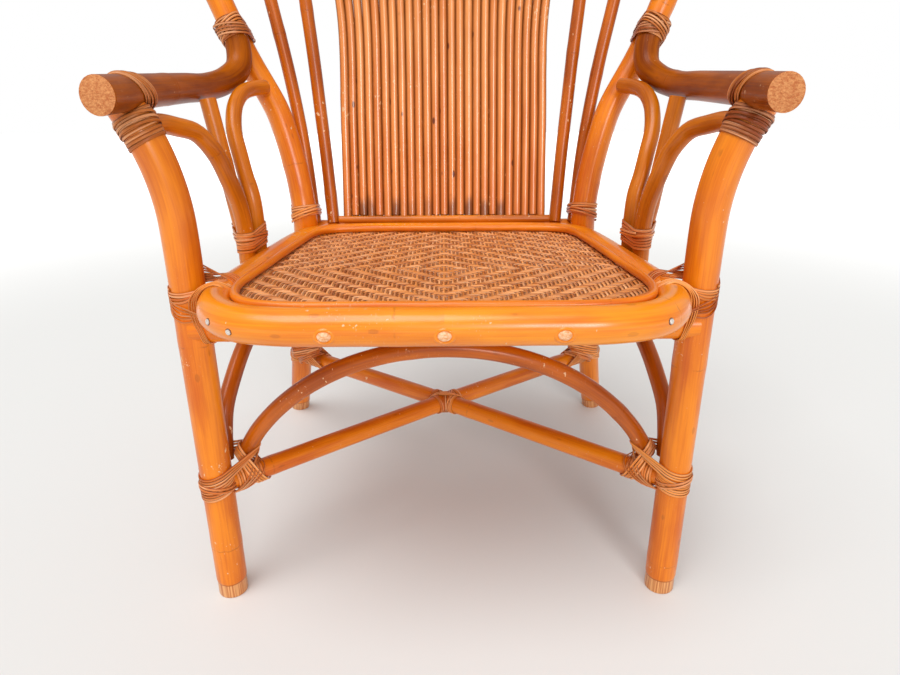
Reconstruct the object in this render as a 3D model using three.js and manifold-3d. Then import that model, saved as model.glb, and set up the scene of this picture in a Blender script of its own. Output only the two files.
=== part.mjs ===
// A rattan armchair with a fan-shaped back, seen as its maker would lay it out on the bench:
// steamed and bent poles, a woven cane seat, a back panel of pencil reeds, and every joint
// bound with cane strand. Millimetres, +Z up, the sitter faces -Y, +X to the right of a viewer
// who stands in front. While it is laid out, y = 0 is the line of the front legs; the last lines
// move the chair so that the middle of its footprint is the origin.

import * as THREE from 'three';
import { mergeVertices } from 'three/addons/utils/BufferGeometryUtils.js';
import Module from 'manifold-3d';

const wasm = await Module();
wasm.setup();

// Fit between touching pieces.
const gap = 0.35;
const boreClearance = gap * 3;
const boundClearance = gap * 3;

// Pole stock.
const legDiameter = 40;
const uprightDiameter = 38;
const armDiameter = 37;
const ringDiameter = 40;
const frontRailDiameter = 34;
const railDiameter = 30;
const stretcherDiameter = 27;
const archDiameter = 22;
const braceDiameter = 22;
const spokeDiameter = 20;
const barDiameter = 20;
const battenDiameter = 16;
const baseReedDiameter = 12;
const beadDiameter = 10;
const reedDiameter = 13.5;
const reedPitch = 13.2;

// Sides of the round sections.
const thickSides = 10;
const thinSides = 8;
const reedSides = 6;

// Straight stretches in the length of each bent pole.
const legSteps = 14;
const uprightSteps = 20;
const armSteps = 16;
const hoopSteps = 26;
const ringSteps = 36;
const stretcherSteps = 9;
const archSteps = 12;
const sideArchSteps = 14;
const frontBraceSteps = 13;
const rearBraceSteps = 16;
const innerSpokeSteps = 8;
const outerSpokeSteps = 9;
const reedSteps = 5;

// Front legs: straight, then bent outward from some way below the arms to meet them.
const legSpread = 295.5;
const legBendDrop = 148;
const legBendRadius = 270;
const legTopDrop = 9;

// Seat: the ring slopes back a little, and its levels are those of its centre line.
const ringFrontLevel = 430;
const ringRearLevel = 417;
const ringReach = 114;
const ringRearBack = 346;
const frontRailForward = 5;
const sideRailFrontLevel = 390;
const sideRailRearLevel = 378;
const rearRailLevel = 420;
const weaveThickness = 6;
const weaveDrop = 10;
const plugDiameter = 11;
const plugLength = 9;
const plugCrown = 1.2;
const plugSpacing = 118;
const plugDrop = 3;

// Back: each rear leg and upright is one pole, narrowest at the seat and leaning out above it.
const rearFootSpread = 311.4;
const rearFootBack = 549.5;
const waistSpread = 225;
const waistBack = 344;
const waistHeight = 440;
const fanSpread = 343.5;
const fanHeight = 770;
const shoulderSpread = 391;
const shoulderHeight = 968;
const backHeight = 1160;
const reclineShare = 0.215;
const hoopJointHeight = 905;
const pegDiameter = 16;
const pegLength = 26;

// Back panel and spokes.
const reedsPerStrip = 5;
const strips = 5;
const reedFlareHeight = 735;
const reedFlare = 52;
const reedFlarePower = 1.1;
const reedFootDrop = 0.4;
const panelEndLap = 6;
const battenHeights = [810, 960];
const innerSpokeFoot = 184;
const innerSpokeFan = 217;
const innerSpokeTop = 256;
const outerSpokeFoot = 215;
const outerSpokeFan = 271.6;
const outerSpokeTop = 340;
const spokeFootDrop = 2;

// Arms.
const armHeight = 648;
const armReach = 82;
const armFrontSpread = 319;
const armPostSpread = 327;
const armWidestSpread = 334.5;
const armWidestBack = 185;
const armUpturn = 92;
const armInset = 6;
const armSideShare = 0.8;
const armLowerShare = 0.64;
const armTurnInsetShares = [0.7, 2.6, 4.6];
const armTurnBackShares = [0.48, 0.76, 0.915];
const armTurnRiseShares = [0, 0.09, 0.28];

// Arm braces, bound together on the side rail.
const bundleBack = 182;
const bundleStand = 87.5;
const bundleStandShare = 0.333;
const frontBraceEndBack = 12;
const middleBraceTopInward = 22.5;
const middleBraceTopBack = 22;
const middleBraceTopShare = 0.55;
const hookEndDrop = 3;
const hookInset = 9;

// Stretchers and arches.
const stretcherFrontLevel = 170;
const stretcherRearLevel = 150;
const stretcherCrossLevel = 163;
const archFootInward = 25.5;
const archFootBack = 37;
const archFootShare = 0.34;
const archSeatShare = 0.86;
const sideArchFootLevel = 190;
const sideArchFootInward = 3;

// Cane strand that binds the joints.
const strandWidth = 3.4;
const strandThickness = 1.7;
const strandPitch = 4.4;
const strandSteps = 10;
const strandClearance = gap * 2.6;
const straightClearance = gap;
const bentClearance = gap * 4.3;

// Where the bindings sit on their joints, and how steeply their turns slant there.
const jointTurns = 5;
const seatTurns = 3;
const footTurns = 4;
const rearTurns = 3;
const seatSlantShare = 1;
const seatRiseShare = 1.2;
const armSlantShare = 0.83;
const armDropShare = 2;
const footSlantShare = 0.27;
const lapShare = 0.74;
const bundleRiseShare = 3;
const spokeRiseShare = 4.5;

const lean = Math.hypot(1, reclineShare);
const legBendHeight = armHeight - legBendDrop;
const frontRailBack = -frontRailForward;
const seatDepth = ringReach + ringRearBack;
const ringSpread = legSpread - (legDiameter + ringDiameter) / 2 - gap;
const rearRailBack = ringRearBack + (ringDiameter + railDiameter) / 2 + gap;
const rearRailTop = rearRailLevel + railDiameter / 2;
const crestHeight = backHeight - uprightDiameter / 2;
const panelBehind = ((uprightDiameter + reedDiameter) / 2 + gap) * lean;
const spokeBehind = ((uprightDiameter + spokeDiameter) / 2 + gap) * lean;

const finishes = {
  pole: { color: 0xc9731f, roughness: 0.35, metalness: 0 },
  arm: { color: 0xb0601c, roughness: 0.35, metalness: 0 },
  reed: { color: 0xe09a5c, roughness: 0.32, metalness: 0 },
  weave: { color: 0xc98a55, roughness: 0.55, metalness: 0 },
  strand: { color: 0x9c5424, roughness: 0.5, metalness: 0 },
  plug: { color: 0xb5682c, roughness: 0.5, metalness: 0 },
};

const chair = new THREE.Group();

const point = (x, y, z) => new THREE.Vector3(x, y, z);
const mirrored = (points, side) => points.map((p) => point(p.x * side, p.y, p.z));
const smooth = (points) => new THREE.CatmullRomCurve3(points, false, 'centripetal');
const lerp = THREE.MathUtils.lerp;
const sideName = (side) => (side < 0 ? 'left' : 'right');
const seatLevelAt = (back) => lerp(ringFrontLevel, ringRearLevel, (back + ringReach) / seatDepth);
const frontRailLevel = seatLevelAt(frontRailBack) - (ringDiameter + frontRailDiameter) / 2 - gap;

// Round section as a polygon with a corner on its first axis.
function roundSection(diameter, sides) {
  const corners = [];
  for (let i = 0; i < sides; i += 1) {
    const angle = (i / sides) * Math.PI * 2;
    corners.push(new THREE.Vector2(Math.cos(angle), Math.sin(angle)).multiplyScalar(diameter / 2));
  }
  return new THREE.Shape(corners);
}

// A closed solid swept along an open centre line.
function poleAlong(curve, diameter, steps, sides) {
  return new THREE.ExtrudeGeometry(roundSection(diameter, sides), { steps, extrudePath: curve });
}

// three.js geometry to a solid that can be joined and cut, and back.
function solidFrom(geometry) {
  const bare = geometry.clone();
  bare.deleteAttribute('normal');
  bare.deleteAttribute('uv');
  const merged = mergeVertices(bare);
  const mesh = new wasm.Mesh({
    numProp: 3,
    vertProperties: Float32Array.from(merged.attributes.position.array),
    triVerts: Uint32Array.from(merged.index.array),
  });
  return new wasm.Manifold(mesh);
}

function geometryFrom(solid) {
  const mesh = solid.getMesh();
  const geometry = new THREE.BufferGeometry();
  geometry.setAttribute('position', new THREE.BufferAttribute(Float32Array.from(mesh.vertProperties), 3));
  geometry.setIndex(new THREE.BufferAttribute(Uint32Array.from(mesh.triVerts), 1));
  geometry.computeVertexNormals();
  return geometry;
}

// Takes the cutters away from a piece, as a coped or drilled joint is made; offcuts fall away.
function coped(geometry, cutters) {
  let solid = solidFrom(geometry);
  for (const cutter of cutters) {
    solid = solid.subtract(solidFrom(cutter));
  }
  const parts = solid.decompose();
  parts.sort((a, b) => b.volume() - a.volume());
  return geometryFrom(parts[0]);
}

function add(name, geometry, finish) {
  const mesh = new THREE.Mesh(geometry, new THREE.MeshStandardMaterial(finish));
  mesh.name = name;
  chair.add(mesh);
  return mesh;
}

// Every pole is kept under its name, so that its neighbours can be coped to it.
const poles = {};

function pole(name, curve, diameter, steps, sides) {
  poles[name] = { name, curve, diameter, steps, sides };
  return poles[name];
}

function fatPole(name) {
  const p = poles[name];
  return poleAlong(p.curve, p.diameter + gap * 2, p.steps, p.sides);
}

function addPole(name, neighbours = [], extraCutters = [], finish = finishes.pole) {
  const p = poles[name];
  const body = poleAlong(p.curve, p.diameter, p.steps, p.sides);
  const cutters = neighbours.map(fatPole).concat(extraCutters);
  return add(name, cutters.length > 0 ? coped(body, cutters) : body, finish);
}

// The point of a curve at a given height or depth, by halving; the coordinate grows along it.
function whereOn(curve, axis, value) {
  let low = 0;
  let high = 1;
  for (let i = 0; i < 40; i += 1) {
    const middle = (low + high) / 2;
    if (curve.getPointAt(middle)[axis] < value) {
      low = middle;
    } else {
      high = middle;
    }
  }
  return (low + high) / 2;
}

function stretchOf(curve, from, to, count) {
  const points = [];
  for (let i = 0; i <= count; i += 1) {
    points.push(curve.getPointAt(lerp(from, to, i / count)));
  }
  return smooth(points);
}

// The share of a curve that lies nearest to a place.
function nearestShare(curve, place) {
  const samples = 120;
  let best = 0;
  let least = Infinity;
  for (let i = 0; i <= samples; i += 1) {
    const miss = curve.getPointAt(i / samples).distanceTo(place);
    if (miss < least) {
      best = i / samples;
      least = miss;
    }
  }
  return best;
}

// The straight stretch of a stepped pole at a share of its length.
function stretchAt(p, share) {
  const step = Math.min(Math.floor(share * p.steps), p.steps - 1);
  const from = p.curve.getPointAt(step / p.steps);
  const to = p.curve.getPointAt((step + 1) / p.steps);
  const place = from.clone().lerp(to, share * p.steps - step);
  return { place, along: to.sub(from).normalize() };
}

// A pole where it crosses a plane near a place, as a straight round bar.
function barAcross(name, nearShare, at, axis) {
  const p = poles[name];
  const window = 0.06;
  const aheadOf = (share) => stretchAt(p, share).place.sub(at).dot(axis);
  let low = Math.max(0, nearShare - window);
  let high = Math.min(1, nearShare + window);
  const rising = aheadOf(high) > aheadOf(low);
  for (let i = 0; i < 16; i += 1) {
    const middle = (low + high) / 2;
    if (aheadOf(middle) < 0 === rising) {
      low = middle;
    } else {
      high = middle;
    }
  }
  const { place, along } = stretchAt(p, low);
  return { at: place, along, radius: p.diameter / 2 };
}

// FRONT LEGS

// Centre line of a front leg: straight to the bend, then an arc that leans outward.
function frontLegCurve(side) {
  const points = [];
  const straightPlaces = 4;
  for (let i = 0; i < straightPlaces; i += 1) {
    points.push(point(side * legSpread, 0, (legBendHeight * i) / straightPlaces));
  }
  const rise = armHeight - legTopDrop - legBendHeight;
  const sweep = Math.asin(rise / legBendRadius);
  const arcPlaces = 6;
  for (let i = 0; i <= arcPlaces; i += 1) {
    const angle = (sweep * i) / arcPlaces;
    const out = legBendRadius * (1 - Math.cos(angle));
    points.push(point(side * (legSpread + out), 0, legBendHeight + legBendRadius * Math.sin(angle)));
  }
  return smooth(points);
}

// BACK FRAME

const backAt = (height) => waistBack + reclineShare * (height - waistHeight);

const fanRiseShares = [0.18, 0.3, 0.41, 0.52, 0.76, 1];
const fanSpreadShares = [0.06, 0.133, 0.216, 0.322, 0.692, 1];
const shoulderRiseShares = [0.33, 0.64];
const shoulderOutShares = [0.58, 0.88];

// Centre line of the whole right-hand side of the back, from the rear foot to the crest.
function backFramePoints() {
  const points = [];
  const straightPlaces = 4;
  for (let i = 0; i < straightPlaces; i += 1) {
    const share = i / straightPlaces;
    points.push(point(
      lerp(rearFootSpread, waistSpread, share),
      lerp(rearFootBack, waistBack, share),
      waistHeight * share,
    ));
  }
  points.push(point(waistSpread, waistBack, waistHeight));
  fanRiseShares.forEach((share, i) => {
    const height = lerp(waistHeight, fanHeight, share);
    points.push(point(lerp(waistSpread, fanSpread, fanSpreadShares[i]), backAt(height), height));
  });
  shoulderRiseShares.forEach((share, i) => {
    const height = lerp(fanHeight, shoulderHeight, share);
    points.push(point(lerp(fanSpread, shoulderSpread, shoulderOutShares[i]), backAt(height), height));
  });
  const crestPlaces = 6;
  for (let i = 0; i <= crestPlaces; i += 1) {
    const angle = (i / crestPlaces) * (Math.PI / 2);
    const height = shoulderHeight + (crestHeight - shoulderHeight) * Math.sin(angle);
    points.push(point(shoulderSpread * Math.cos(angle), backAt(height), height));
  }
  return points;
}

const rightSide = backFramePoints();
const leftSide = mirrored(rightSide, -1);
const overTheTop = smooth(leftSide.concat(rightSide.slice(0, -1).reverse()));
overTheTop.arcLengthDivisions = 800;
const rightHalf = smooth(rightSide);
rightHalf.arcLengthDivisions = 400;
const hoopJointShare = whereOn(rightHalf, 'z', hoopJointHeight);
const hoopStart = whereOn(overTheTop, 'z', hoopJointHeight);

// One point of an upright's centre line, at a given height.
function uprightAt(height) {
  return rightHalf.getPointAt(whereOn(rightHalf, 'z', height));
}

// POLES, IN THE ORDER OF ASSEMBLY

for (const side of [-1, 1]) {
  const hand = sideName(side);
  pole(`front_leg_${hand}`, frontLegCurve(side), legDiameter, legSteps, thickSides);

  // The stock of the upright runs on below the floor until it is cut level.
  const upright = stretchOf(rightHalf, 0, hoopJointShare, uprightSteps).points;
  upright.unshift(upright[0].clone().addScaledVector(rightHalf.getTangentAt(0), -uprightDiameter));
  const uprightCurve = smooth(mirrored(upright, side));
  pole(`rear_leg_and_upright_${hand}`, uprightCurve, uprightDiameter, uprightSteps, thickSides);

  const post = uprightAt(armHeight + armUpturn);
  const lower = uprightAt(armHeight + armUpturn * armLowerShare);
  const inFront = (uprightDiameter + armDiameter) / 2 + gap * 2;
  const forward = inFront * lean;
  const turnBack = lower.y - forward;
  const armTurn = armTurnInsetShares.map((share, i) => point(
    armWidestSpread - armInset * share,
    lerp(armWidestBack, turnBack, armTurnBackShares[i]),
    armHeight + armUpturn * armTurnRiseShares[i],
  ));
  const armPoints = [
    point(armFrontSpread, -armReach, armHeight),
    point(armPostSpread, 0, armHeight),
    point(lerp(armPostSpread, armWidestSpread, armSideShare), armWidestBack / 2, armHeight),
    point(armWidestSpread, armWidestBack, armHeight),
    ...armTurn,
    point(lower.x - armInset, turnBack, lower.z),
    point(post.x - armInset, post.y - forward, post.z),
  ];
  pole(`arm_${hand}`, smooth(mirrored(armPoints, side)), armDiameter, armSteps, thickSides);
}

const hoopCurve = stretchOf(overTheTop, hoopStart, 1 - hoopStart, hoopSteps);
pole('back_hoop', hoopCurve, uprightDiameter, uprightSteps, thickSides);

// SEAT RING: one pole bent to a rounded frame, bowed at the front and narrower at the rear.

const ringOutShares = [0, 0.35, 0.655, 0.84, 0.953, 0.995, 1, 0.96, 0.925, 0.89, 0.853, 0.772, 0.59];
const ringBackShares = [
  0, 0.001, 0.0065, 0.037, 0.107, 0.1935, 0.248, 0.474, 0.663, 0.817, 0.907, 0.964, 0.993,
];

// The ring's centre line, moved inward and upward; the same plan lies under the weave and the bead.
function ringPlan(inward, upward) {
  const half = ringOutShares.map((share, i) => {
    const back = seatDepth * ringBackShares[i] - ringReach;
    return point(ringSpread * share, back, seatLevelAt(back));
  });
  half.push(point(0, ringRearBack, ringRearLevel));
  const otherHalf = mirrored(half.slice(1, -1), -1).reverse();
  const plan = new THREE.CatmullRomCurve3(half.concat(otherHalf), true, 'centripetal');
  plan.arcLengthDivisions = 600;
  if (inward === 0) {
    return plan;
  }
  const moved = [];
  const count = 48;
  for (let i = 0; i < count; i += 1) {
    const place = plan.getPointAt(i / count);
    const along = plan.getTangentAt(i / count);
    const back = place.y + along.x * inward;
    moved.push(point(place.x - along.y * inward, back, seatLevelAt(back) + upward));
  }
  return new THREE.CatmullRomCurve3(moved, true, 'centripetal');
}

const ringCurve = ringPlan(0, 0);

function ringTube(extra) {
  return new THREE.TubeGeometry(ringCurve, ringSteps, ringDiameter / 2 + extra, thickSides, true);
}

// How far out the ring's centre line is at a given depth, along its side.
function ringSpreadAt(back) {
  let nearest = null;
  for (let i = 0; i < ringSteps * 10; i += 1) {
    const place = ringCurve.getPointAt(i / (ringSteps * 20));
    if (nearest === null || Math.abs(place.y - back) < Math.abs(nearest.y - back)) {
      nearest = place;
    }
  }
  return nearest.x;
}

// RAILS AND STRETCHERS

const sideRailEnd = uprightAt(sideRailRearLevel);
const sideRailFront = point(legSpread, 0, sideRailFrontLevel);
const sideRailAt = (back) => sideRailFront.clone().lerp(sideRailEnd, back / sideRailEnd.y);

pole('front_rail', new THREE.LineCurve3(
  point(-legSpread, frontRailBack, frontRailLevel),
  point(legSpread, frontRailBack, frontRailLevel),
), frontRailDiameter, 1, thickSides);

const railSeat = uprightAt(rearRailLevel);
pole('rear_rail', new THREE.LineCurve3(
  point(-railSeat.x - uprightDiameter / 2, rearRailBack, rearRailLevel),
  point(railSeat.x + uprightDiameter / 2, rearRailBack, rearRailLevel),
), railDiameter, 1, thickSides);

const stretcherSeat = uprightAt(stretcherRearLevel);
const crossingShare = legSpread / (legSpread + stretcherSeat.x);
const crossing = point(0, stretcherSeat.y * crossingShare, stretcherCrossLevel);
for (const side of [-1, 1]) {
  const hand = sideName(side);
  const railEnds = mirrored([sideRailFront, sideRailEnd], side);
  pole(`side_rail_${hand}`, new THREE.LineCurve3(railEnds[0], railEnds[1]), railDiameter, 1, thickSides);
  pole(`stretcher_front_${hand}`, smooth([
    point(side * legSpread, 0, stretcherFrontLevel),
    crossing,
    point(-side * stretcherSeat.x, stretcherSeat.y, stretcherRearLevel),
  ]), stretcherDiameter, stretcherSteps, thickSides);
}

// ARCHES

// An arch between two feet, as the top part of an ellipse in a leaning plane.
function archCurve(foot, top) {
  const sweep = Math.PI * archFootShare;
  const halfWidth = foot.x / Math.sin(sweep);
  const rise = (top.z - foot.z) / (1 - Math.cos(sweep));
  const points = [];
  for (let i = 0; i <= archSteps; i += 1) {
    const angle = lerp(-sweep, sweep, i / archSteps);
    const down = (1 - Math.cos(angle)) * rise;
    const share = down / (top.z - foot.z);
    points.push(point(halfWidth * Math.sin(angle), lerp(top.y, foot.y, share), top.z - down));
  }
  return smooth(points);
}

const archOnStretcher = ((stretcherDiameter + archDiameter) / 2) * archSeatShare;
pole('front_arch', archCurve(
  point(legSpread - archFootInward, archFootBack, stretcherFrontLevel + archOnStretcher),
  point(0, frontRailBack, frontRailLevel - (frontRailDiameter + archDiameter) / 2 - gap),
), archDiameter, archSteps, thinSides);

const rearArchSeat = uprightAt(stretcherRearLevel + archOnStretcher);
pole('rear_arch', archCurve(
  point(rearArchSeat.x - archFootInward, rearArchSeat.y - archFootBack, rearArchSeat.z),
  point(0, rearRailBack, rearRailLevel - (railDiameter + archDiameter) / 2 - gap),
), archDiameter, archSteps, thinSides);

const archRunShares = [0, 0.03, 0.09, 0.245, 0.417, 0.6, 0.78, 1];
const archRiseShares = [0, 0.21, 0.405, 0.589, 0.738, 0.845, 0.935, 1];

for (const side of [-1, 1]) {
  const frontFoot = (legDiameter + archDiameter) / 2 + gap * 2;
  const rearFoot = uprightAt(sideArchFootLevel);
  const legLean = Math.hypot(1, (rearFootBack - waistBack) / waistHeight);
  const rearFootBackOf = rearFoot.y - ((uprightDiameter + archDiameter) / 2 + gap * 2) * legLean;
  const topBack = (frontFoot + rearFootBackOf) / 2;
  const railAbove = sideRailAt(topBack);
  const topLevel = railAbove.z - (railDiameter + archDiameter) / 2 - gap * 2;
  const half = topBack - frontFoot;
  const places = [];
  archRunShares.forEach((share, i) => {
    places.push({ back: frontFoot + half * share, share, rise: archRiseShares[i], front: true });
  });
  archRunShares.slice(0, -1).reverse().forEach((share, i) => {
    const rise = archRiseShares[archRiseShares.length - 2 - i];
    places.push({ back: rearFootBackOf - half * share, share, rise, front: false });
  });
  const line = places.map((place) => {
    const footSpread = place.front ? legSpread - sideArchFootInward : rearFoot.x;
    return point(
      side * lerp(footSpread, railAbove.x, place.share),
      place.back,
      lerp(sideArchFootLevel, topLevel, place.rise),
    );
  });
  pole(`side_arch_${sideName(side)}`, smooth(line), archDiameter, sideArchSteps, thinSides);
}

// ARM BRACES: three on each side, bound together where they stand on the side rail.

const bundlePitch = braceDiameter + gap;

function braceFoot(order) {
  const back = bundleBack + order * bundlePitch;
  const spread = ringSpreadAt(back) + (ringDiameter + braceDiameter) / 2 + gap;
  return point(spread, back, sideRailAt(back).z);
}

// Outlines from foot to top, as shares: outward of the way from the foot to the arm's widest
// place, back of the way from the foot to the end's depth, up of the way from the foot to the arm.
const frontBraceOutShares = [0, 0, -0.07, -0.07, 0, 0.13, 0.22, 0.38, 0.56, 0.65, 0.68];
const frontBraceBackShares = [0, 0, 0.085, 0.163, 0.262, 0.322, 0.377, 0.445, 0.634, 0.817, 1];
const frontBraceRiseShares = [0, 0.174, 0.333, 0.462, 0.587, 0.705, 0.761, 0.818, 0.852, 0.872, 0.878];
const hookOutShares = [0, 0, 0.033, 0.164, 0.28, 0.397, 0.448, 0.462, 0.419, 0.31];
const hookBackShares = [0, 0.01, 0.033, 0.092, 0.158, 0.25, 0.349, 0.467, 0.651, 0.829];
const hookRiseShares = [0, 0.18, 0.444, 0.556, 0.669, 0.763, 0.838, 0.902, 0.959, 0.981];

// The bound stretch at a brace's foot keeps its length; the rest of its height follows the arm.
function braceLevel(foot, share) {
  const boundTop = foot.z + bundleStand;
  if (share < bundleStandShare) {
    return lerp(foot.z, boundTop, share / bundleStandShare);
  }
  return lerp(boundTop, armHeight, (share - bundleStandShare) / (1 - bundleStandShare));
}

function braceLine(foot, endBack, outShares, backShares, riseShares) {
  return outShares.map((share, i) => point(
    lerp(foot.x, armWidestSpread, share),
    lerp(foot.y, endBack, backShares[i]),
    braceLevel(foot, riseShares[i]),
  ));
}

const frontBraceLine = braceLine(braceFoot(-1), frontBraceEndBack,
  frontBraceOutShares, frontBraceBackShares, frontBraceRiseShares);
const middleBraceTop = point(
  armWidestSpread - middleBraceTopInward,
  bundleBack + middleBraceTopBack,
  armHeight - armDiameter * middleBraceTopShare,
);
const nailedTo = uprightAt(armHeight - hookEndDrop);
const hookEnd = point(
  nailedTo.x - hookInset,
  nailedTo.y - ((uprightDiameter + braceDiameter) / 2 + gap) * lean,
  nailedTo.z,
);
const hookLine = braceLine(braceFoot(1), hookEnd.y, hookOutShares, hookBackShares, hookRiseShares);
hookLine.push(hookEnd);

for (const side of [-1, 1]) {
  const hand = sideName(side);
  const middleEnds = mirrored([braceFoot(0), middleBraceTop], side);
  const middleLine = new THREE.LineCurve3(middleEnds[0], middleEnds[1]);
  const frontLine = smooth(mirrored(frontBraceLine, side));
  const rearLine = smooth(mirrored(hookLine, side));
  pole(`arm_brace_front_${hand}`, frontLine, braceDiameter, frontBraceSteps, thinSides);
  pole(`arm_brace_middle_${hand}`, middleLine, braceDiameter, 1, thinSides);
  pole(`arm_brace_rear_${hand}`, rearLine, braceDiameter, rearBraceSteps, thinSides);
}

// SPOKES

const spokeRiseShares = [0, 0.3, 0.52, 0.74, 1];
const spokeMiddleShare = 0.48;
const innerSpokeShares = [0, 0.254, 0.472, 0.693, 1];
const outerSpokeShares = [0, 0.187, 0.39, 0.643, 1];
const spokeFootLevel = rearRailTop - spokeFootDrop;
const panelBackAt = (height) => backAt(height) + panelBehind;

// Height of the hoop's centre line at a given distance from the middle.
function hoopLevelAt(spread) {
  return shoulderHeight + (crestHeight - shoulderHeight) * Math.sqrt(1 - (spread / shoulderSpread) ** 2);
}

function spokeCurve(foot, fan, top, shares) {
  const points = spokeRiseShares.map((share, i) => {
    const height = lerp(spokeFootLevel, fanHeight, share);
    return point(lerp(foot, fan, shares[i]), backAt(height) + spokeBehind, height);
  });
  const topHeight = hoopLevelAt(top) + panelEndLap;
  const middleHeight = (fanHeight + topHeight) / 2;
  points.push(point(lerp(fan, top, spokeMiddleShare), backAt(middleHeight) + spokeBehind, middleHeight));
  points.push(point(top, backAt(topHeight) + spokeBehind, topHeight));
  return points;
}

for (const side of [-1, 1]) {
  const hand = sideName(side);
  const inner = spokeCurve(innerSpokeFoot, innerSpokeFan, innerSpokeTop, innerSpokeShares);
  const outer = spokeCurve(outerSpokeFoot, outerSpokeFan, outerSpokeTop, outerSpokeShares);
  pole(`inner_spoke_${hand}`, smooth(mirrored(inner, side)), spokeDiameter, innerSpokeSteps, thinSides);
  pole(`outer_spoke_${hand}`, smooth(mirrored(outer, side)), spokeDiameter, outerSpokeSteps, thinSides);
}

// SEAT BARS, BASE REED AND BATTENS

const barBackShares = [0.36, 0.68];
const barDrop = weaveDrop + weaveThickness + gap + (barDiameter - ringDiameter) / 2;
const seatBars = ['seat_bar_front', 'seat_bar_rear'];
seatBars.forEach((name, i) => {
  const back = seatDepth * barBackShares[i] - ringReach;
  const level = seatLevelAt(back) - barDrop;
  pole(name, new THREE.LineCurve3(
    point(-ringSpread, back, level),
    point(ringSpread, back, level),
  ), barDiameter, 1, thinSides);
});

const baseReedReach = (ringDiameter + baseReedDiameter) / 2 + gap;
const baseReedBack = panelBackAt(ringRearLevel + baseReedReach)
  - ((reedDiameter + baseReedDiameter) / 2 + gap) * lean;
const baseReedLevel = ringRearLevel + Math.sqrt(baseReedReach ** 2 - (baseReedBack - ringRearBack) ** 2);
const baseReedHalf = innerSpokeFoot - spokeDiameter / 2 - gap * 2;
pole('panel_base_reed', new THREE.LineCurve3(
  point(-baseReedHalf, baseReedBack, baseReedLevel),
  point(baseReedHalf, baseReedBack, baseReedLevel),
), baseReedDiameter, 1, thinSides);

const battens = ['panel_batten_lower', 'panel_batten_upper'];
battens.forEach((name, i) => {
  const behind = ((reedDiameter + battenDiameter) / 2 + gap) * lean;
  const back = panelBackAt(battenHeights[i]) + behind;
  const spoke = poles.inner_spoke_right.curve;
  const half = spoke.getPointAt(whereOn(spoke, 'z', battenHeights[i])).x;
  pole(name, new THREE.LineCurve3(
    point(-half, back, battenHeights[i]),
    point(half, back, battenHeights[i]),
  ), battenDiameter, 1, thinSides);
});

// PUTTING THE POLES IN PLACE, EACH COPED TO WHAT IT MEETS

const floorCut = new THREE.BoxGeometry(backHeight * 2, backHeight * 2, backHeight);
floorCut.translate(0, 0, -backHeight / 2);

// A round peg or its hole, along a direction.
function pegAt(start, direction, diameter, length) {
  const end = start.clone().addScaledVector(direction, length);
  return poleAlong(new THREE.LineCurve3(start, end), diameter, 1, thickSides);
}

for (const side of [-1, 1]) {
  const hand = sideName(side);
  addPole(`front_leg_${hand}`, [`arm_${hand}`]);

  const upright = poles[`rear_leg_and_upright_${hand}`];
  const top = upright.curve.getPointAt(1);
  const upward = upright.curve.getTangentAt(1);
  const stock = poleAlong(upright.curve, upright.diameter, upright.steps, upright.sides);
  const peg = pegAt(top.clone().addScaledVector(upward, -pegLength), upward, pegDiameter, pegLength * 2);
  const withPeg = solidFrom(stock).add(solidFrom(peg)).subtract(solidFrom(floorCut));
  add(upright.name, geometryFrom(withPeg), finishes.pole);

  addPole(`arm_${hand}`, [], [], finishes.arm);
}

// The hoop's ends are cut square a gap above the uprights and bored for their pegs.
const hoopCutters = ['left', 'right'].flatMap((hand) => {
  const { curve } = poles[`rear_leg_and_upright_${hand}`];
  const top = curve.getPointAt(1);
  const upward = curve.getTangentAt(1);
  const below = top.clone().addScaledVector(upward, -pegLength);
  return [
    pegAt(below, upward, uprightDiameter * 2, pegLength + gap),
    pegAt(top, upward, pegDiameter + boreClearance, pegLength + gap),
  ];
});
addPole('back_hoop', [], hoopCutters);

// The seat ring with its plug holes; the bars inside it are coped to the plain ring.
const plugPlaces = [-1, 0, 1].map((order) => {
  const wanted = order * plugSpacing;
  let best = 0;
  let bestMiss = Infinity;
  for (let i = 0; i < 400; i += 1) {
    const place = ringCurve.getPointAt(i / 400);
    const miss = Math.abs(place.x - wanted);
    if (place.y < 0 && miss < bestMiss) {
      best = i / 400;
      bestMiss = miss;
    }
  }
  const centre = ringCurve.getPointAt(best);
  const along = ringCurve.getTangentAt(best);
  const outward = point(along.y, -along.x, 0).normalize();
  return { centre: centre.setZ(centre.z - plugDrop), outward };
});

const plugHoles = plugPlaces.map(({ centre, outward }) => {
  const start = centre.clone().addScaledVector(outward, ringDiameter / 2 - plugLength - gap);
  return pegAt(start, outward, plugDiameter + boreClearance, plugLength * 2);
});
add('seat_ring', coped(ringTube(0), plugHoles), finishes.pole);

// A wood plug with a domed face, turned on its own axis.
function plugGeometry(centre, outward) {
  const profile = [new THREE.Vector2(0, 0), new THREE.Vector2(plugDiameter / 2, 0)];
  const rimSteps = 3;
  for (let i = 0; i <= rimSteps; i += 1) {
    const angle = (i / rimSteps) * (Math.PI / 2);
    const out = i === rimSteps ? 0 : (plugDiameter / 2) * Math.cos(angle);
    profile.push(new THREE.Vector2(out, plugLength + plugCrown * Math.sin(angle)));
  }
  const plug = new THREE.LatheGeometry(profile, thickSides);
  plug.applyQuaternion(new THREE.Quaternion().setFromUnitVectors(point(0, 1, 0), outward));
  const seat = centre.clone().addScaledVector(outward, ringDiameter / 2 - plugLength);
  plug.translate(seat.x, seat.y, seat.z);
  return plug;
}

const plugNames = ['ring_plug_left', 'ring_plug_middle', 'ring_plug_right'];
plugPlaces.forEach(({ centre, outward }, i) => {
  add(plugNames[i], plugGeometry(centre, outward), finishes.plug);
});

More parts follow.
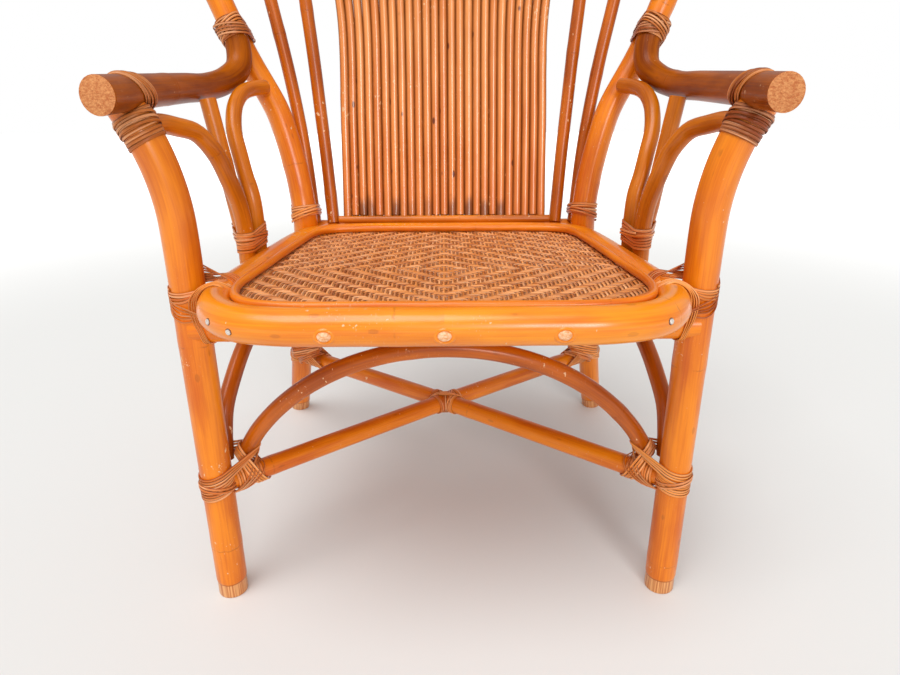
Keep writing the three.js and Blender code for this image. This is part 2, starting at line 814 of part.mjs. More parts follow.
addPole('front_rail', ['front_leg_left', 'front_leg_right']);
addPole('rear_rail', ['rear_leg_and_upright_left', 'rear_leg_and_upright_right']);

// Where the stretchers cross, each is cut away by half its depth: the part of the other one that
// lies above the crossing's level is cut from the left-hand one, the part below from the other.
function lapCutter(side) {
  const half = new THREE.BoxGeometry(backHeight, backHeight, backHeight);
  const above = point(0, crossing.y, crossing.z + backHeight / 2);
  const below = point(0, crossing.y, crossing.z + gap - backHeight / 2);
  const middle = side < 0 ? above : below;
  half.translate(middle.x, middle.y, middle.z);
  return geometryFrom(solidFrom(fatPole(`stretcher_front_${sideName(-side)}`)).intersect(solidFrom(half)));
}

for (const side of [-1, 1]) {
  const hand = sideName(side);
  const other = sideName(-side);
  addPole(`side_rail_${hand}`, ['front_rail', `front_leg_${hand}`, `rear_leg_and_upright_${hand}`]);
  const legs = [`front_leg_${hand}`, `rear_leg_and_upright_${other}`];
  addPole(`stretcher_front_${hand}`, legs, [lapCutter(side)]);
}
const stretchers = ['stretcher_front_left', 'stretcher_front_right'];
addPole('front_arch', [...stretchers, 'front_leg_left', 'front_leg_right']);
addPole('rear_arch', [...stretchers, 'rear_leg_and_upright_left', 'rear_leg_and_upright_right']);
for (const side of [-1, 1]) {
  const hand = sideName(side);
  const other = sideName(-side);
  addPole(`side_arch_${hand}`, [`front_leg_${hand}`, `rear_leg_and_upright_${hand}`,
    `stretcher_front_${hand}`, `stretcher_front_${other}`, 'front_arch', 'rear_arch']);

  // The turns over the arm are wound before the brace behind them is cut to its place.
  const leg = poles[`front_leg_${hand}`];
  const bound = leg.diameter + (strandThickness + boundClearance) * 2;
  const boundLeg = poleAlong(leg.curve, bound, leg.steps, leg.sides);
  const post = spotOn(leg.name, armHeight - armDiameter / 2 - strandPitch * armDropShare);
  const overArm = addWinding(`binding_arm_post_${hand}`, [leg.name, `arm_${hand}`], post.at,
    point(0, armSlantShare, 1), point(side, 0, 0), jointTurns, bentClearance);
  addPole(`arm_brace_front_${hand}`, [`arm_${hand}`, `side_rail_${hand}`], [boundLeg, overArm]);
  addPole(`arm_brace_middle_${hand}`, [`arm_${hand}`, `side_rail_${hand}`]);
  addPole(`arm_brace_rear_${hand}`, [`arm_${hand}`, `rear_leg_and_upright_${hand}`, `side_rail_${hand}`]);
  addPole(`inner_spoke_${hand}`, ['rear_rail']);
  addPole(`outer_spoke_${hand}`, ['rear_rail', `rear_leg_and_upright_${hand}`]);
}
for (const name of seatBars) {
  addPole(name, [], [ringTube(gap)]);
}
addPole('panel_base_reed', [], [], finishes.reed);
for (const name of battens) {
  addPole(name, ['inner_spoke_left', 'inner_spoke_right'], [], finishes.reed);
}

// WOVEN SEAT AND ITS EDGE BEAD

// The woven seat is a thin sheet of cane that fills the ring and slopes with it.
function weaveGeometry() {
  const outline = ringPlan(ringDiameter / 2 + gap, 0).getSpacedPoints(ringSteps).slice(0, -1);
  const shape = new THREE.Shape(outline.map((p) => new THREE.Vector2(p.x, p.y)));
  const slab = new THREE.ExtrudeGeometry(shape, { depth: weaveThickness, steps: 1, bevelEnabled: false });
  const lift = ringDiameter / 2 - weaveDrop - weaveThickness;
  const places = slab.attributes.position;
  for (let i = 0; i < places.count; i += 1) {
    places.setZ(i, places.getZ(i) + lift + seatLevelAt(places.getY(i)));
  }
  return slab;
}

const beadUpward = (ringDiameter + beadDiameter) / 2 - weaveDrop + gap;
const beadReach = (ringDiameter + beadDiameter) / 2 + gap * 3;
const beadInward = Math.sqrt(beadReach ** 2 - beadUpward ** 2);
const beadCurve = ringPlan(beadInward, beadUpward);
const beadGeometry = () => new THREE.TubeGeometry(beadCurve, ringSteps, beadDiameter / 2, reedSides, true);

// REED PANEL: strips of reeds that touch at the seat and fan out under the hoop.

const stripPitch = reedPitch * (reedsPerStrip - 1) + reedDiameter + gap;
const panelHalf = (stripPitch * (strips - 1)) / 2 + (reedPitch * (reedsPerStrip - 1)) / 2;
const reedHeightShares = [0, 0.25, 0.5, 0.72, 0.88, 1];
const reedFootLevel = rearRailTop - reedFootDrop;

function reedCurve(spread) {
  const flareShare = (spread / panelHalf) * Math.abs(spread / panelHalf);
  const middleHeight = (reedFootLevel + reedFlareHeight) / 2;
  const top = hoopLevelAt(spread + reedFlare * flareShare) + panelEndLap;
  const points = [
    point(spread, panelBackAt(reedFootLevel), reedFootLevel),
    point(spread, panelBackAt(middleHeight), middleHeight),
  ];
  reedHeightShares.forEach((share) => {
    const height = lerp(reedFlareHeight, top, share);
    const out = reedFlare * flareShare * share ** reedFlarePower;
    points.push(point(spread + out, panelBackAt(height), height));
  });
  return smooth(points);
}

for (let strip = 0; strip < strips; strip += 1) {
  let joined = null;
  for (let i = 0; i < reedsPerStrip; i += 1) {
    const spread = (strip - (strips - 1) / 2) * stripPitch + (i - (reedsPerStrip - 1) / 2) * reedPitch;
    const reed = solidFrom(poleAlong(reedCurve(spread), reedDiameter, reedSteps, reedSides));
    joined = joined === null ? reed : joined.add(reed);
  }
  add(`reed_strip_${strip + 1}`, geometryFrom(joined), finishes.reed);
}

// BINDINGS: each is one strand, wound in flat turns round the bars that meet at a joint.

// How far a bar reaches, in the plane of a turn, the way that a direction faces.
function reachOf(bar, at, axis, facing) {
  const steep = axis.dot(bar.along);
  const travel = axis.dot(at.clone().sub(bar.at)) / steep;
  const centre = bar.at.clone().addScaledVector(bar.along, travel);
  const across = axis.clone().cross(bar.along);
  if (across.length() < Number.EPSILON) {
    return centre.dot(facing) + bar.radius;
  }
  const narrow = across.normalize();
  const wide = narrow.clone().cross(axis);
  return centre.dot(facing) + Math.hypot(facing.dot(narrow), facing.dot(wide) / steep) * bar.radius;
}

// Corners of a winding: each turn is the outline of flat stretches drawn tight round all the bars.
function windingRows(names, at, axis, start, turns, clearance) {
  const first = start.clone().addScaledVector(axis, -start.dot(axis)).normalize();
  const second = new THREE.Vector3().crossVectors(axis, first);
  const nearShares = names.map((name) => nearestShare(poles[name].curve, at));
  const rows = [];
  const step = (Math.PI * 2) / strandSteps;
  const facingAt = (angle) => {
    const facing = first.clone().multiplyScalar(Math.cos(angle));
    return facing.addScaledVector(second, Math.sin(angle));
  };
  for (let i = 0; i <= turns * strandSteps; i += 1) {
    const here = at.clone().addScaledVector(axis, (i / strandSteps - turns / 2) * strandPitch);
    const bars = names.map((name, k) => barAcross(name, nearShares[k], here, axis));
    const angle = (i + 1 / 2) * step;
    const [before, after] = [angle - step / 2, angle + step / 2].map((side) => {
      const reaches = bars.map((bar) => reachOf(bar, here, axis, facingAt(side)));
      return Math.max(...reaches) + clearance + strandThickness / 2;
    });
    const out = (before + after) / (2 * Math.cos(step / 2));
    const sideways = (after - before) / (2 * Math.sin(step / 2));
    const place = axis.clone().multiplyScalar(here.dot(axis));
    const facing = facingAt(angle);
    place.addScaledVector(facing, out).addScaledVector(facingAt(angle + Math.PI / 2), sideways);
    rows.push({ place, facing, axis });
  }
  return rows;
}

// The strand's four-cornered section carried through its rows, with both ends closed.
function strandGeometry(rows, width, thickness) {
  const positions = [];
  for (const { place, facing, axis } of rows) {
    for (const [up, along] of [[-1, -1], [1, -1], [1, 1], [-1, 1]]) {
      const corner = place.clone()
        .addScaledVector(facing, (up * thickness) / 2)
        .addScaledVector(axis, (along * width) / 2);
      positions.push(corner.x, corner.y, corner.z);
    }
  }
  const faces = [];
  for (let row = 0; row < rows.length - 1; row += 1) {
    for (let i = 0; i < 4; i += 1) {
      const a = row * 4 + i;
      const b = row * 4 + ((i + 1) % 4);
      faces.push(a, b + 4, b, a, a + 4, b + 4);
    }
  }
  const last = (rows.length - 1) * 4;
  faces.push(0, 2, 3, 0, 1, 2);
  faces.push(last, last + 2, last + 1, last, last + 3, last + 2);
  const geometry = new THREE.BufferGeometry();
  geometry.setAttribute('position', new THREE.Float32BufferAttribute(positions, 3));
  geometry.setIndex(faces);
  geometry.computeVertexNormals();
  return geometry;
}

// Points along the strand's middle, between its rows too.
function strandSamples(rows) {
  const between = 5;
  const samples = [];
  for (let i = 0; i < rows.length - 1; i += 1) {
    const along = rows[i + 1].place.clone().sub(rows[i].place).normalize();
    for (let k = 0; k < between; k += 1) {
      const place = rows[i].place.clone().lerp(rows[i + 1].place, k / between);
      samples.push({ ...rows[i], place, along, turn: (i + k / between) / strandSteps });
    }
  }
  return samples;
}

// The least gap between turns, on those points: how far one section is clear of another.
function leastSelfGap(rows) {
  const samples = strandSamples(rows);
  let least = Infinity;
  samples.forEach((here, i) => {
    for (const there of samples.slice(i + 1)) {
      if (there.turn - here.turn > 1 / 2) {
        const apart = there.place.clone().sub(here.place);
        const beside = Math.abs(apart.dot(here.axis)) - strandWidth;
        const above = Math.abs(apart.dot(here.facing)) - strandThickness;
        const ahead = Math.abs(apart.dot(here.along)) - strandWidth;
        least = Math.min(least, Math.max(beside, above, ahead));
      }
    }
  });
  return least;
}

function addWinding(name, around, at, slant, start, turns, clearance = strandClearance) {
  const rows = windingRows(around, at, slant.clone().normalize(), start, turns, clearance);
  add(name, strandGeometry(rows, strandWidth, strandThickness), finishes.strand);
  console.log(`${name}: ${turns} turns, least gap to itself ${leastSelfGap(rows).toFixed(2)} mm`);
  return strandGeometry(rows, strandWidth + gap * 2, strandThickness + gap * 2);
}

poles.seat_ring = { curve: ringCurve, diameter: ringDiameter, steps: ringSteps };

// A place on a pole at a given height, and the way that the pole runs there.
function spotOn(name, height) {
  const { curve } = poles[name];
  const share = whereOn(curve, 'z', height);
  return { at: curve.getPointAt(share), along: curve.getTangentAt(share) };
}

const notches = [];
for (const side of [-1, 1]) {
  const hand = sideName(side);
  const leg = `front_leg_${hand}`;
  const upright = `rear_leg_and_upright_${hand}`;
  const outward = point(side, 0, 0);
  const backward = point(0, 1, 0);
  const upward = point(0, 0, 1);

  const seatJoint = point(side * ringSpread, 0, seatLevelAt(0) + strandPitch * seatRiseShare);
  const seatSlant = point(0, -seatSlantShare, 1);
  notches.push(addWinding(`binding_seat_front_${hand}`, [leg, 'seat_ring'], seatJoint, seatSlant, outward,
    seatTurns, bentClearance));

  const lap = spotOn(upright, armHeight + armUpturn * lapShare);
  addWinding(`binding_arm_upright_${hand}`, [upright, `arm_${hand}`], lap.at, lap.along, backward, jointTurns);

  // The turns round the feet of a leg rise inward, to clear the top of the stretcher.
  const feet = [
    { place: 'front', post: leg, level: stretcherFrontLevel, slant: point(side, -1, 0) },
    { place: 'rear', post: upright, level: stretcherRearLevel, slant: point(side, 1, 0) },
  ];
  for (const { place, post, level, slant } of feet) {
    const rise = (footTurns / 2) * strandPitch + bentClearance - (footSlantShare * legDiameter) / 2;
    const foot = spotOn(post, level + stretcherDiameter / 2 + rise);
    const tilted = slant.normalize().multiplyScalar(footSlantShare).add(upward);
    const feetThere = [post, `side_arch_${hand}`, `${place}_arch`];
    addWinding(`binding_lower_${place}_${hand}`, feetThere, foot.at, tilted, outward, footTurns,
      bentClearance);
  }

  const bundleLevel = seatLevelAt(bundleBack) + ringDiameter / 2 + strandPitch * bundleRiseShare;
  const braces = ['front', 'middle', 'rear'].map((place) => `arm_brace_${place}_${hand}`);
  const bundle = spotOn(braces[1], bundleLevel);
  addWinding(`binding_braces_${hand}`, braces, bundle.at, upward, outward, jointTurns, bentClearance);

  const spoke = spotOn(`outer_spoke_${hand}`, spokeFootLevel + strandPitch * spokeRiseShare);
  const spokeFeet = [upright, `outer_spoke_${hand}`];
  addWinding(`binding_seat_rear_${hand}`, spokeFeet, spoke.at, spoke.along, outward, rearTurns);

  const top = poles[upright].curve.getPointAt(1);
  const along = poles[upright].curve.getTangentAt(1);
  addWinding(`binding_hoop_joint_${hand}`, [upright, 'back_hoop'], top, along, backward, jointTurns,
    straightClearance);
}

addWinding('binding_stretcher_crossing', stretchers, crossing, point(1, 0, 0), point(0, 0, 1),
  jointTurns, bentClearance);

add('seat_weave', coped(weaveGeometry(), notches), finishes.weave);
add('seat_edge_bead', coped(beadGeometry(), notches), finishes.reed);

// The middle of the footprint becomes the origin.
const box = new THREE.Box3().setFromObject(chair);
chair.position.set(-(box.min.x + box.max.x) / 2, -(box.min.y + box.max.y) / 2, 0);
chair.updateMatrixWorld(true);

export default chair;
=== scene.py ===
"""Looks of a rattan armchair with a fan-shaped back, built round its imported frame.

Metres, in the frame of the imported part: the floor is z = 0 and the sitter faces -Y. The sizes
below are the maker's own, with depth 0 at the line of the front legs, and each finished mesh is
moved from the bench to the middle of its footprint.
"""

import logging
import math
from bisect import bisect_right
from dataclasses import dataclass, field
from enum import Enum
from typing import Callable, Iterable, Optional

import bmesh
import bpy
from mathutils import Matrix, Vector, noise


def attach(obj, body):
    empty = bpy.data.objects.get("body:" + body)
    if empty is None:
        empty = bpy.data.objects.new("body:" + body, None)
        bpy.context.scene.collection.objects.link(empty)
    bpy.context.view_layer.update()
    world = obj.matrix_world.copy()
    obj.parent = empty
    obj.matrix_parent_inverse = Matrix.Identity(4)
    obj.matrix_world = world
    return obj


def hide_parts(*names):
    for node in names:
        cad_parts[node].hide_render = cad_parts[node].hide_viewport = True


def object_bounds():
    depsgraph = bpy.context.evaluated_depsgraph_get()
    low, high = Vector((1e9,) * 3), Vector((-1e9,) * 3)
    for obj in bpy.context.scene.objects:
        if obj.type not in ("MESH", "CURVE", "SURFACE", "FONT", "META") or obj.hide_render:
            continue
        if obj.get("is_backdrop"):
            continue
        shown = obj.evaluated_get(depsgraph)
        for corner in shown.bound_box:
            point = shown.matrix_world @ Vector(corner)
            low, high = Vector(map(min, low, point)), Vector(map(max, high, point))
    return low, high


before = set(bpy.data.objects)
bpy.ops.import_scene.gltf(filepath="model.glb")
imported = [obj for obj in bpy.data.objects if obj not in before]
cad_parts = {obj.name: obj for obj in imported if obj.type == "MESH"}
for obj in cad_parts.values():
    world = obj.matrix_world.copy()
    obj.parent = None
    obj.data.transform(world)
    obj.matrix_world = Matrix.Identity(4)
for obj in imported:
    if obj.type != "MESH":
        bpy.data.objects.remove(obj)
cad_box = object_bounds()

log = logging.getLogger("rattan_armchair")

BODY = "root"
GAP = 0.00035
FOOTPRINT_MIDDLE = 0.2171219
UP = Vector((0, 0, 1))
ACROSS = Vector((1, 0, 0))
BACKWARD = Vector((0, 1, 0))
StrandRow = tuple[Vector, Vector, Vector]
Marks = tuple[tuple[float, float, float], ...]


class Hand(Enum):
    """The two sides of the chair, as a viewer in front sees them."""

    LEFT = -1
    RIGHT = 1

    @property
    def word(self) -> str:
        """The side's name in the names of nodes and pieces."""
        return self.name.lower()

    def other(self) -> "Hand":
        """The side across."""
        return Hand(-self.value)

    def mirrored(self, points: Iterable[Vector]) -> list[Vector]:
        """Points laid out on the right-hand side, moved to this side."""
        return [Vector((p.x * self.value, p.y, p.z)) for p in points]


class Slot(Enum):
    """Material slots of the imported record."""

    POLE = "pole"
    ARM = "arm_pole"
    REED = "reed"
    WEAVE = "weave"
    STRAND = "strand"
    PLUG = "plug"


class PoleEnd(Enum):
    """How the end of a pole is left."""

    COPED = "inside its neighbour"
    SAWN = "sawn square, with its edge eased"
    FLOOR = "cut level on the floor"


def lerp(start, end, share: float):
    """The number or point that lies at a share of the way from start to end."""
    return start + (end - start) * share


def tint(code: str) -> tuple[float, float, float, float]:
    """A colour written as six hexadecimal digits, as a linear colour for a socket."""
    parts = [int(code[i : i + 2], 16) / 255 for i in (0, 2, 4)]
    linear = [c / 12.92 if c <= 0.04045 else ((c + 0.055) / 1.055) ** 2.4 for c in parts]
    return (*linear, 1.0)


# CENTRE LINES


class CentreLine:
    """A smooth line through points, as a steamed pole takes it.

    Places on it go by their share of its length.
    """

    span_steps = 20

    def __init__(self, points: Iterable[Vector], closed: bool = False) -> None:
        """Draws the line.

        Args:
            points: the places that it goes through.
            closed: whether it runs back to its start.
        """
        self.points = [Vector(p) for p in points]
        self.closed = closed
        self.places = self._drawn()
        self.reach = [0.0]
        for before, after in zip(self.places, self.places[1:]):
            self.reach.append(self.reach[-1] + (after - before).length)
        self.length = self.reach[-1]

    def _corner(self, i: int) -> Vector:
        """The i-th point, carried on past the ends of an open line."""
        count = len(self.points)
        if self.closed:
            return self.points[i % count]
        if i < 0:
            return self.points[0] * 2 - self.points[1]
        if i >= count:
            return self.points[-1] * 2 - self.points[-2]
        return self.points[i]

    def _drawn(self) -> list[Vector]:
        """Close places along the whole line, by a centripetal spline."""
        spans = len(self.points) - (0 if self.closed else 1)
        places = []
        for span in range(spans):
            a, b, c, d = (self._corner(span + k) for k in (-1, 0, 1, 2))
            first, middle, last = (math.sqrt((q - p).length) for p, q in ((a, b), (b, c), (c, d)))
            leaving = ((b - a) / first - (c - a) / (first + middle) + (c - b) / middle) * middle
            arriving = ((c - b) / middle - (d - b) / (middle + last) + (d - c) / last) * middle
            for step in range(self.span_steps):
                t = step / self.span_steps
                bend = (b - c) * 3 + leaving * 2 + arriving
                twist = (b - c) * 2 + leaving + arriving
                places.append(b + leaving * t - bend * t**2 + twist * t**3)
        places.append(self._corner(spans))
        return places

    def at(self, share: float) -> Vector:
        """The place at a share of the line's length."""
        if self.closed:
            share %= 1.0
        wanted = min(max(share, 0.0), 1.0) * self.length
        i = min(max(bisect_right(self.reach, wanted) - 1, 0), len(self.places) - 2)
        step = self.reach[i + 1] - self.reach[i]
        return self.places[i].lerp(self.places[i + 1], (wanted - self.reach[i]) / step)

    def along(self, share: float) -> Vector:
        """The direction of the line at a share of its length."""
        near = 0.003
        if self.closed:
            return (self.at(share + near) - self.at(share - near)).normalized()
        return (self.at(min(share + near, 1.0)) - self.at(max(share - near, 0.0))).normalized()

    def share_where(self, axis: int, value: float) -> float:
        """The share at which a coordinate, which grows along the line, reaches a value."""
        low, high = 0.0, 1.0
        for _ in range(30):
            middle = (low + high) / 2
            if self.at(middle)[axis] < value:
                low = middle
            else:
                high = middle
        return (low + high) / 2

    def share_near(self, place: Vector) -> float:
        """The share that lies nearest to a place."""
        nearest = min(range(len(self.places)), key=lambda i: (self.places[i] - place).length_squared)
        return self.reach[nearest] / self.length

    def stretch(self, start: float, end: float, count: int) -> list[Vector]:
        """Places spread evenly between two shares."""
        return [self.at(lerp(start, end, i / count)) for i in range(count + 1)]


def level_line(out: float, back: float, height: float) -> CentreLine:
    """A straight level line, as far out on the left as on the right."""
    return CentreLine([Vector((side * out, back, height)) for side in (-1, 1)])


# MESHES


def skin(bm: bmesh.types.BMesh, rows: list[list[Vector]], along: list[float], strand: int = 0) -> list:
    """Wraps a grid of faces round a row of rings, so that the seam can be welded.

    Args:
        bm: the mesh that it is added to.
        rows: one ring of places for each step along the piece.
        along: how far along the piece each ring is, in metres, for its UV map.
        strand: the piece's number in its mesh, which its UV map carries.

    Returns:
        The new vertices.
    """
    uv = bm.loops.layers.uv.verify()
    around, steps = len(rows[0]), len(rows) - 1
    verts = bmesh.ops.create_grid(bm, x_segments=around, y_segments=steps, size=1.0, calc_uvs=True)["verts"]
    seam = []
    for face in dict.fromkeys(f for v in verts for f in v.link_faces):
        face.smooth = True
        for loop in face.loops:
            column, row = round(loop[uv].uv.x * around), round(loop[uv].uv.y * steps)
            loop.vert.co = rows[row][column % around]
            loop[uv].uv = (along[row], strand + column / around)
            if column in (0, around):
                seam.append(loop.vert)
    bmesh.ops.remove_doubles(bm, verts=list(dict.fromkeys(seam)), dist=1e-6)
    return [v for v in verts if v.is_valid]


def travelling_rings(line: CentreLine, shares: list[float], section: Callable) -> list[list[Vector]]:
    """Rings carried along a line without twist.

    Args:
        line: the centre line.
        shares: where the rings are, as shares of its length.
        section: gives a ring's places from its place, its two cross directions and its share.

    Returns:
        One ring for each share.
    """
    rows = []
    first = line.along(shares[0]).orthogonal()
    for share in shares:
        tangent = line.along(share)
        first = (first - tangent * first.dot(tangent)).normalized()
        rows.append(section(line.at(share), first, tangent.cross(first), share))
    return rows


def piece(
    bm: bmesh.types.BMesh,
    name: str,
    nodes: Iterable[str],
    slot: Slot,
    *materials: bpy.types.Material,
    crisp: Optional[float] = None,
) -> None:
    """Makes a finished piece of a mesh: moves it off the bench, dresses it and fixes it to the frame.

    Args:
        bm: the mesh, which is used up.
        name: the piece's name.
        nodes: the CAD nodes that it stands for.
        slot: not used.
        materials: its materials, in the order of the faces' indices.
        crisp: the angle in degrees from which an edge is sharp, if any is.
    """
    bmesh.ops.translate(bm, verts=bm.verts, vec=(0, -FOOTPRINT_MIDDLE, 0))
    mesh = bpy.data.meshes.new(name)
    bm.to_mesh(mesh)
    bm.free()
    if crisp is not None:
        mesh.set_sharp_from_angle(angle=math.radians(crisp))
    for material in materials:
        mesh.materials.append(material)
    made = bpy.data.objects.new(name, mesh)
    bpy.context.scene.collection.objects.link(made)
    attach(made, BODY)
    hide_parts(*nodes)
    log.info("%s: %d faces", name, len(mesh.polygons))


@dataclass
class Pole:
    """One bent pole, reed or rail."""

    name: str
    line: CentreLine
    diameter: float
    start: PoleEnd = PoleEnd.COPED
    end: PoleEnd = PoleEnd.COPED
    sides: int = 28
    step: float = 0.007
    number: int = 0
    swell: float = 0.0004
    joint_spacing: float = 0.29
    tip_height: float = 0.0
    eased: float = 0.0016
    swell_reach: float = 0.009
    waver_share: float = 0.004
    foot_wear: float = 0.0008
    wear_edge: float = 0.0012
    trim: Optional[tuple[Vector, Vector]] = None

    @property
    def begin(self) -> float:
        """Where the pole's own grain starts, in metres, so that no two poles look the same."""
        return (self.number * 0.613) % 5.0

    def radius_at(self, place: Vector, along: float) -> float:
        """The pole's radius: it swells at its joints, wavers a little and is worn thin at a foot."""
        from_joint = abs((along / self.joint_spacing) % 1.0 - 0.5) * self.joint_spacing
        swell = self.swell * math.exp(-((from_joint / self.swell_reach) ** 2))
        waver = self.diameter * self.waver_share * noise.noise(Vector((along * 9.0, self.number * 3.7, 0)))
        worn = self.foot_wear if place.z < self.tip_height else 0.0
        return self.diameter / 2 + swell + waver - worn

    def drawn(self, bm: bmesh.types.BMesh, strand: int = 0) -> None:
        """Adds the pole to a mesh, with its ends closed.

        Args:
            bm: the mesh that it is added to.
            strand: its number there, which its UV map carries.
        """
        count = max(3, math.ceil(self.line.length / self.step))
        shares = [i / count for i in range(count + 1)]
        if self.tip_height:
            edge = self.line.share_where(2, self.tip_height)
            near = self.wear_edge / self.line.length
            shares = sorted(shares + [edge - near, edge + near])
        angles = [math.tau * k / self.sides for k in range(self.sides)]

        def section(place: Vector, first: Vector, second: Vector, share: float) -> list[Vector]:
            """A round ring."""
            radius = self.radius_at(place, self.begin + share * self.line.length)
            return [place + (first * math.cos(a) + second * math.sin(a)) * radius for a in angles]

        rows = travelling_rings(self.line, shares, section)
        if self.line.closed:
            rows[-1] = [p.copy() for p in rows[0]]
        along = [self.begin + share * self.line.length for share in shares]
        verts = skin(bm, rows, along, strand)
        if self.line.closed:
            bmesh.ops.remove_doubles(bm, verts=[v for v in verts if v.is_valid and v.is_boundary], dist=1e-5)
            return
        self._close(bm, [v for v in verts if v.is_valid])

    def _close(self, bm: bmesh.types.BMesh, verts: list[bmesh.types.BMVert]) -> None:
        """Cuts a foot level or an end slanting, closes both ends and eases the edges that show."""
        cut = (Vector((0, 0, 0)), -UP) if PoleEnd.FLOOR in (self.start, self.end) else self.trim
        if cut:
            geometry = verts + list(bm.edges) + list(bm.faces)
            bmesh.ops.bisect_plane(
                bm, geom=geometry, dist=1e-7, plane_co=cut[0], plane_no=cut[1], clear_outer=True
            )
            verts = [v for v in verts if v.is_valid]
            verts += [v for v in bm.verts if abs((v.co - cut[0]).dot(cut[1])) < 1e-6]
        own = set(verts)
        rim = [e for e in bm.edges if e.is_boundary and e.verts[0] in own]
        caps = bmesh.ops.edgeloop_fill(bm, edges=rim, mat_nr=0)["faces"]
        for cap in caps:
            cap.smooth = False
            centre = cap.calc_center_median()
            nearer_start = (centre - self.line.at(0)).length < (centre - self.line.at(1)).length
            kind = self.start if nearer_start else self.end
            if kind is not PoleEnd.COPED:
                cap.material_index = 1
                bmesh.ops.bevel(
                    bm,
                    geom=list(cap.edges),
                    offset=self.eased,
                    segments=3,
                    profile=0.5,
                    affect="EDGES",
                    material=-1,
                    clamp_overlap=True,
                )
        bmesh.ops.recalc_face_normals(bm, faces=bm.faces)


@dataclass(frozen=True)
class Bar:
    """A pole where it crosses a plane, as a straight round bar."""

    at: Vector
    along: Vector
    radius: float

    def support(self, axis: Vector, facing: Vector) -> Vector:
        """The farthest point, the way that a direction in the plane faces, of the bar's cut by the plane."""
        steep = axis.dot(self.along)
        across = axis.cross(self.along)
        if across.length < 1e-6:
            return self.at + facing * self.radius
        narrow = across.normalized()
        wide = narrow.cross(axis)
        short, long = self.radius, self.radius / abs(steep)
        x, y = facing.dot(narrow), facing.dot(wide)
        scale = math.hypot(short * x, long * y)
        return self.at + (narrow * (short**2 * x) + wide * (long**2 * y)) / scale


@dataclass
class Strand:
    """Flat cane strand, wound or laid along a row of places."""

    width: float = 0.0034
    thickness: float = 0.0016
    corners: int = 8
    squareness: float = 0.85

    def bulge(self, wave: float) -> float:
        """How far out a corner lies for the sine or cosine of its angle."""
        return math.copysign(abs(wave) ** self.squareness, wave)

    def laid(self, bm: bmesh.types.BMesh, rows: list[StrandRow], number: int, begin: float) -> None:
        """Adds a strand to a mesh.

        Args:
            bm: the mesh that it is added to.
            rows: a place, the way that its flat faces, and the way across it, for each step.
            number: the strand's number in its mesh.
            begin: where its own grain starts, in metres.
        """
        rings = []
        along = [begin]
        angles = [math.tau * (k + 0.5) / self.corners for k in range(self.corners)]
        for i, (place, facing, across) in enumerate(rows):
            if i:
                along.append(along[-1] + (place - rows[i - 1][0]).length)
            rings.append(
                [
                    place
                    + across * (self.bulge(math.cos(a)) * self.width / 2)
                    + facing * (self.bulge(math.sin(a)) * self.thickness / 2)
                    for a in angles
                ]
            )
        verts = [v for v in skin(bm, rings, along, number) if v.is_valid]
        own = set(verts)
        rim = [e for v in verts for e in v.link_edges if e.is_boundary and e.other_vert(v) in own]
        bmesh.ops.edgeloop_fill(bm, edges=list(set(rim)))


# FINISHES


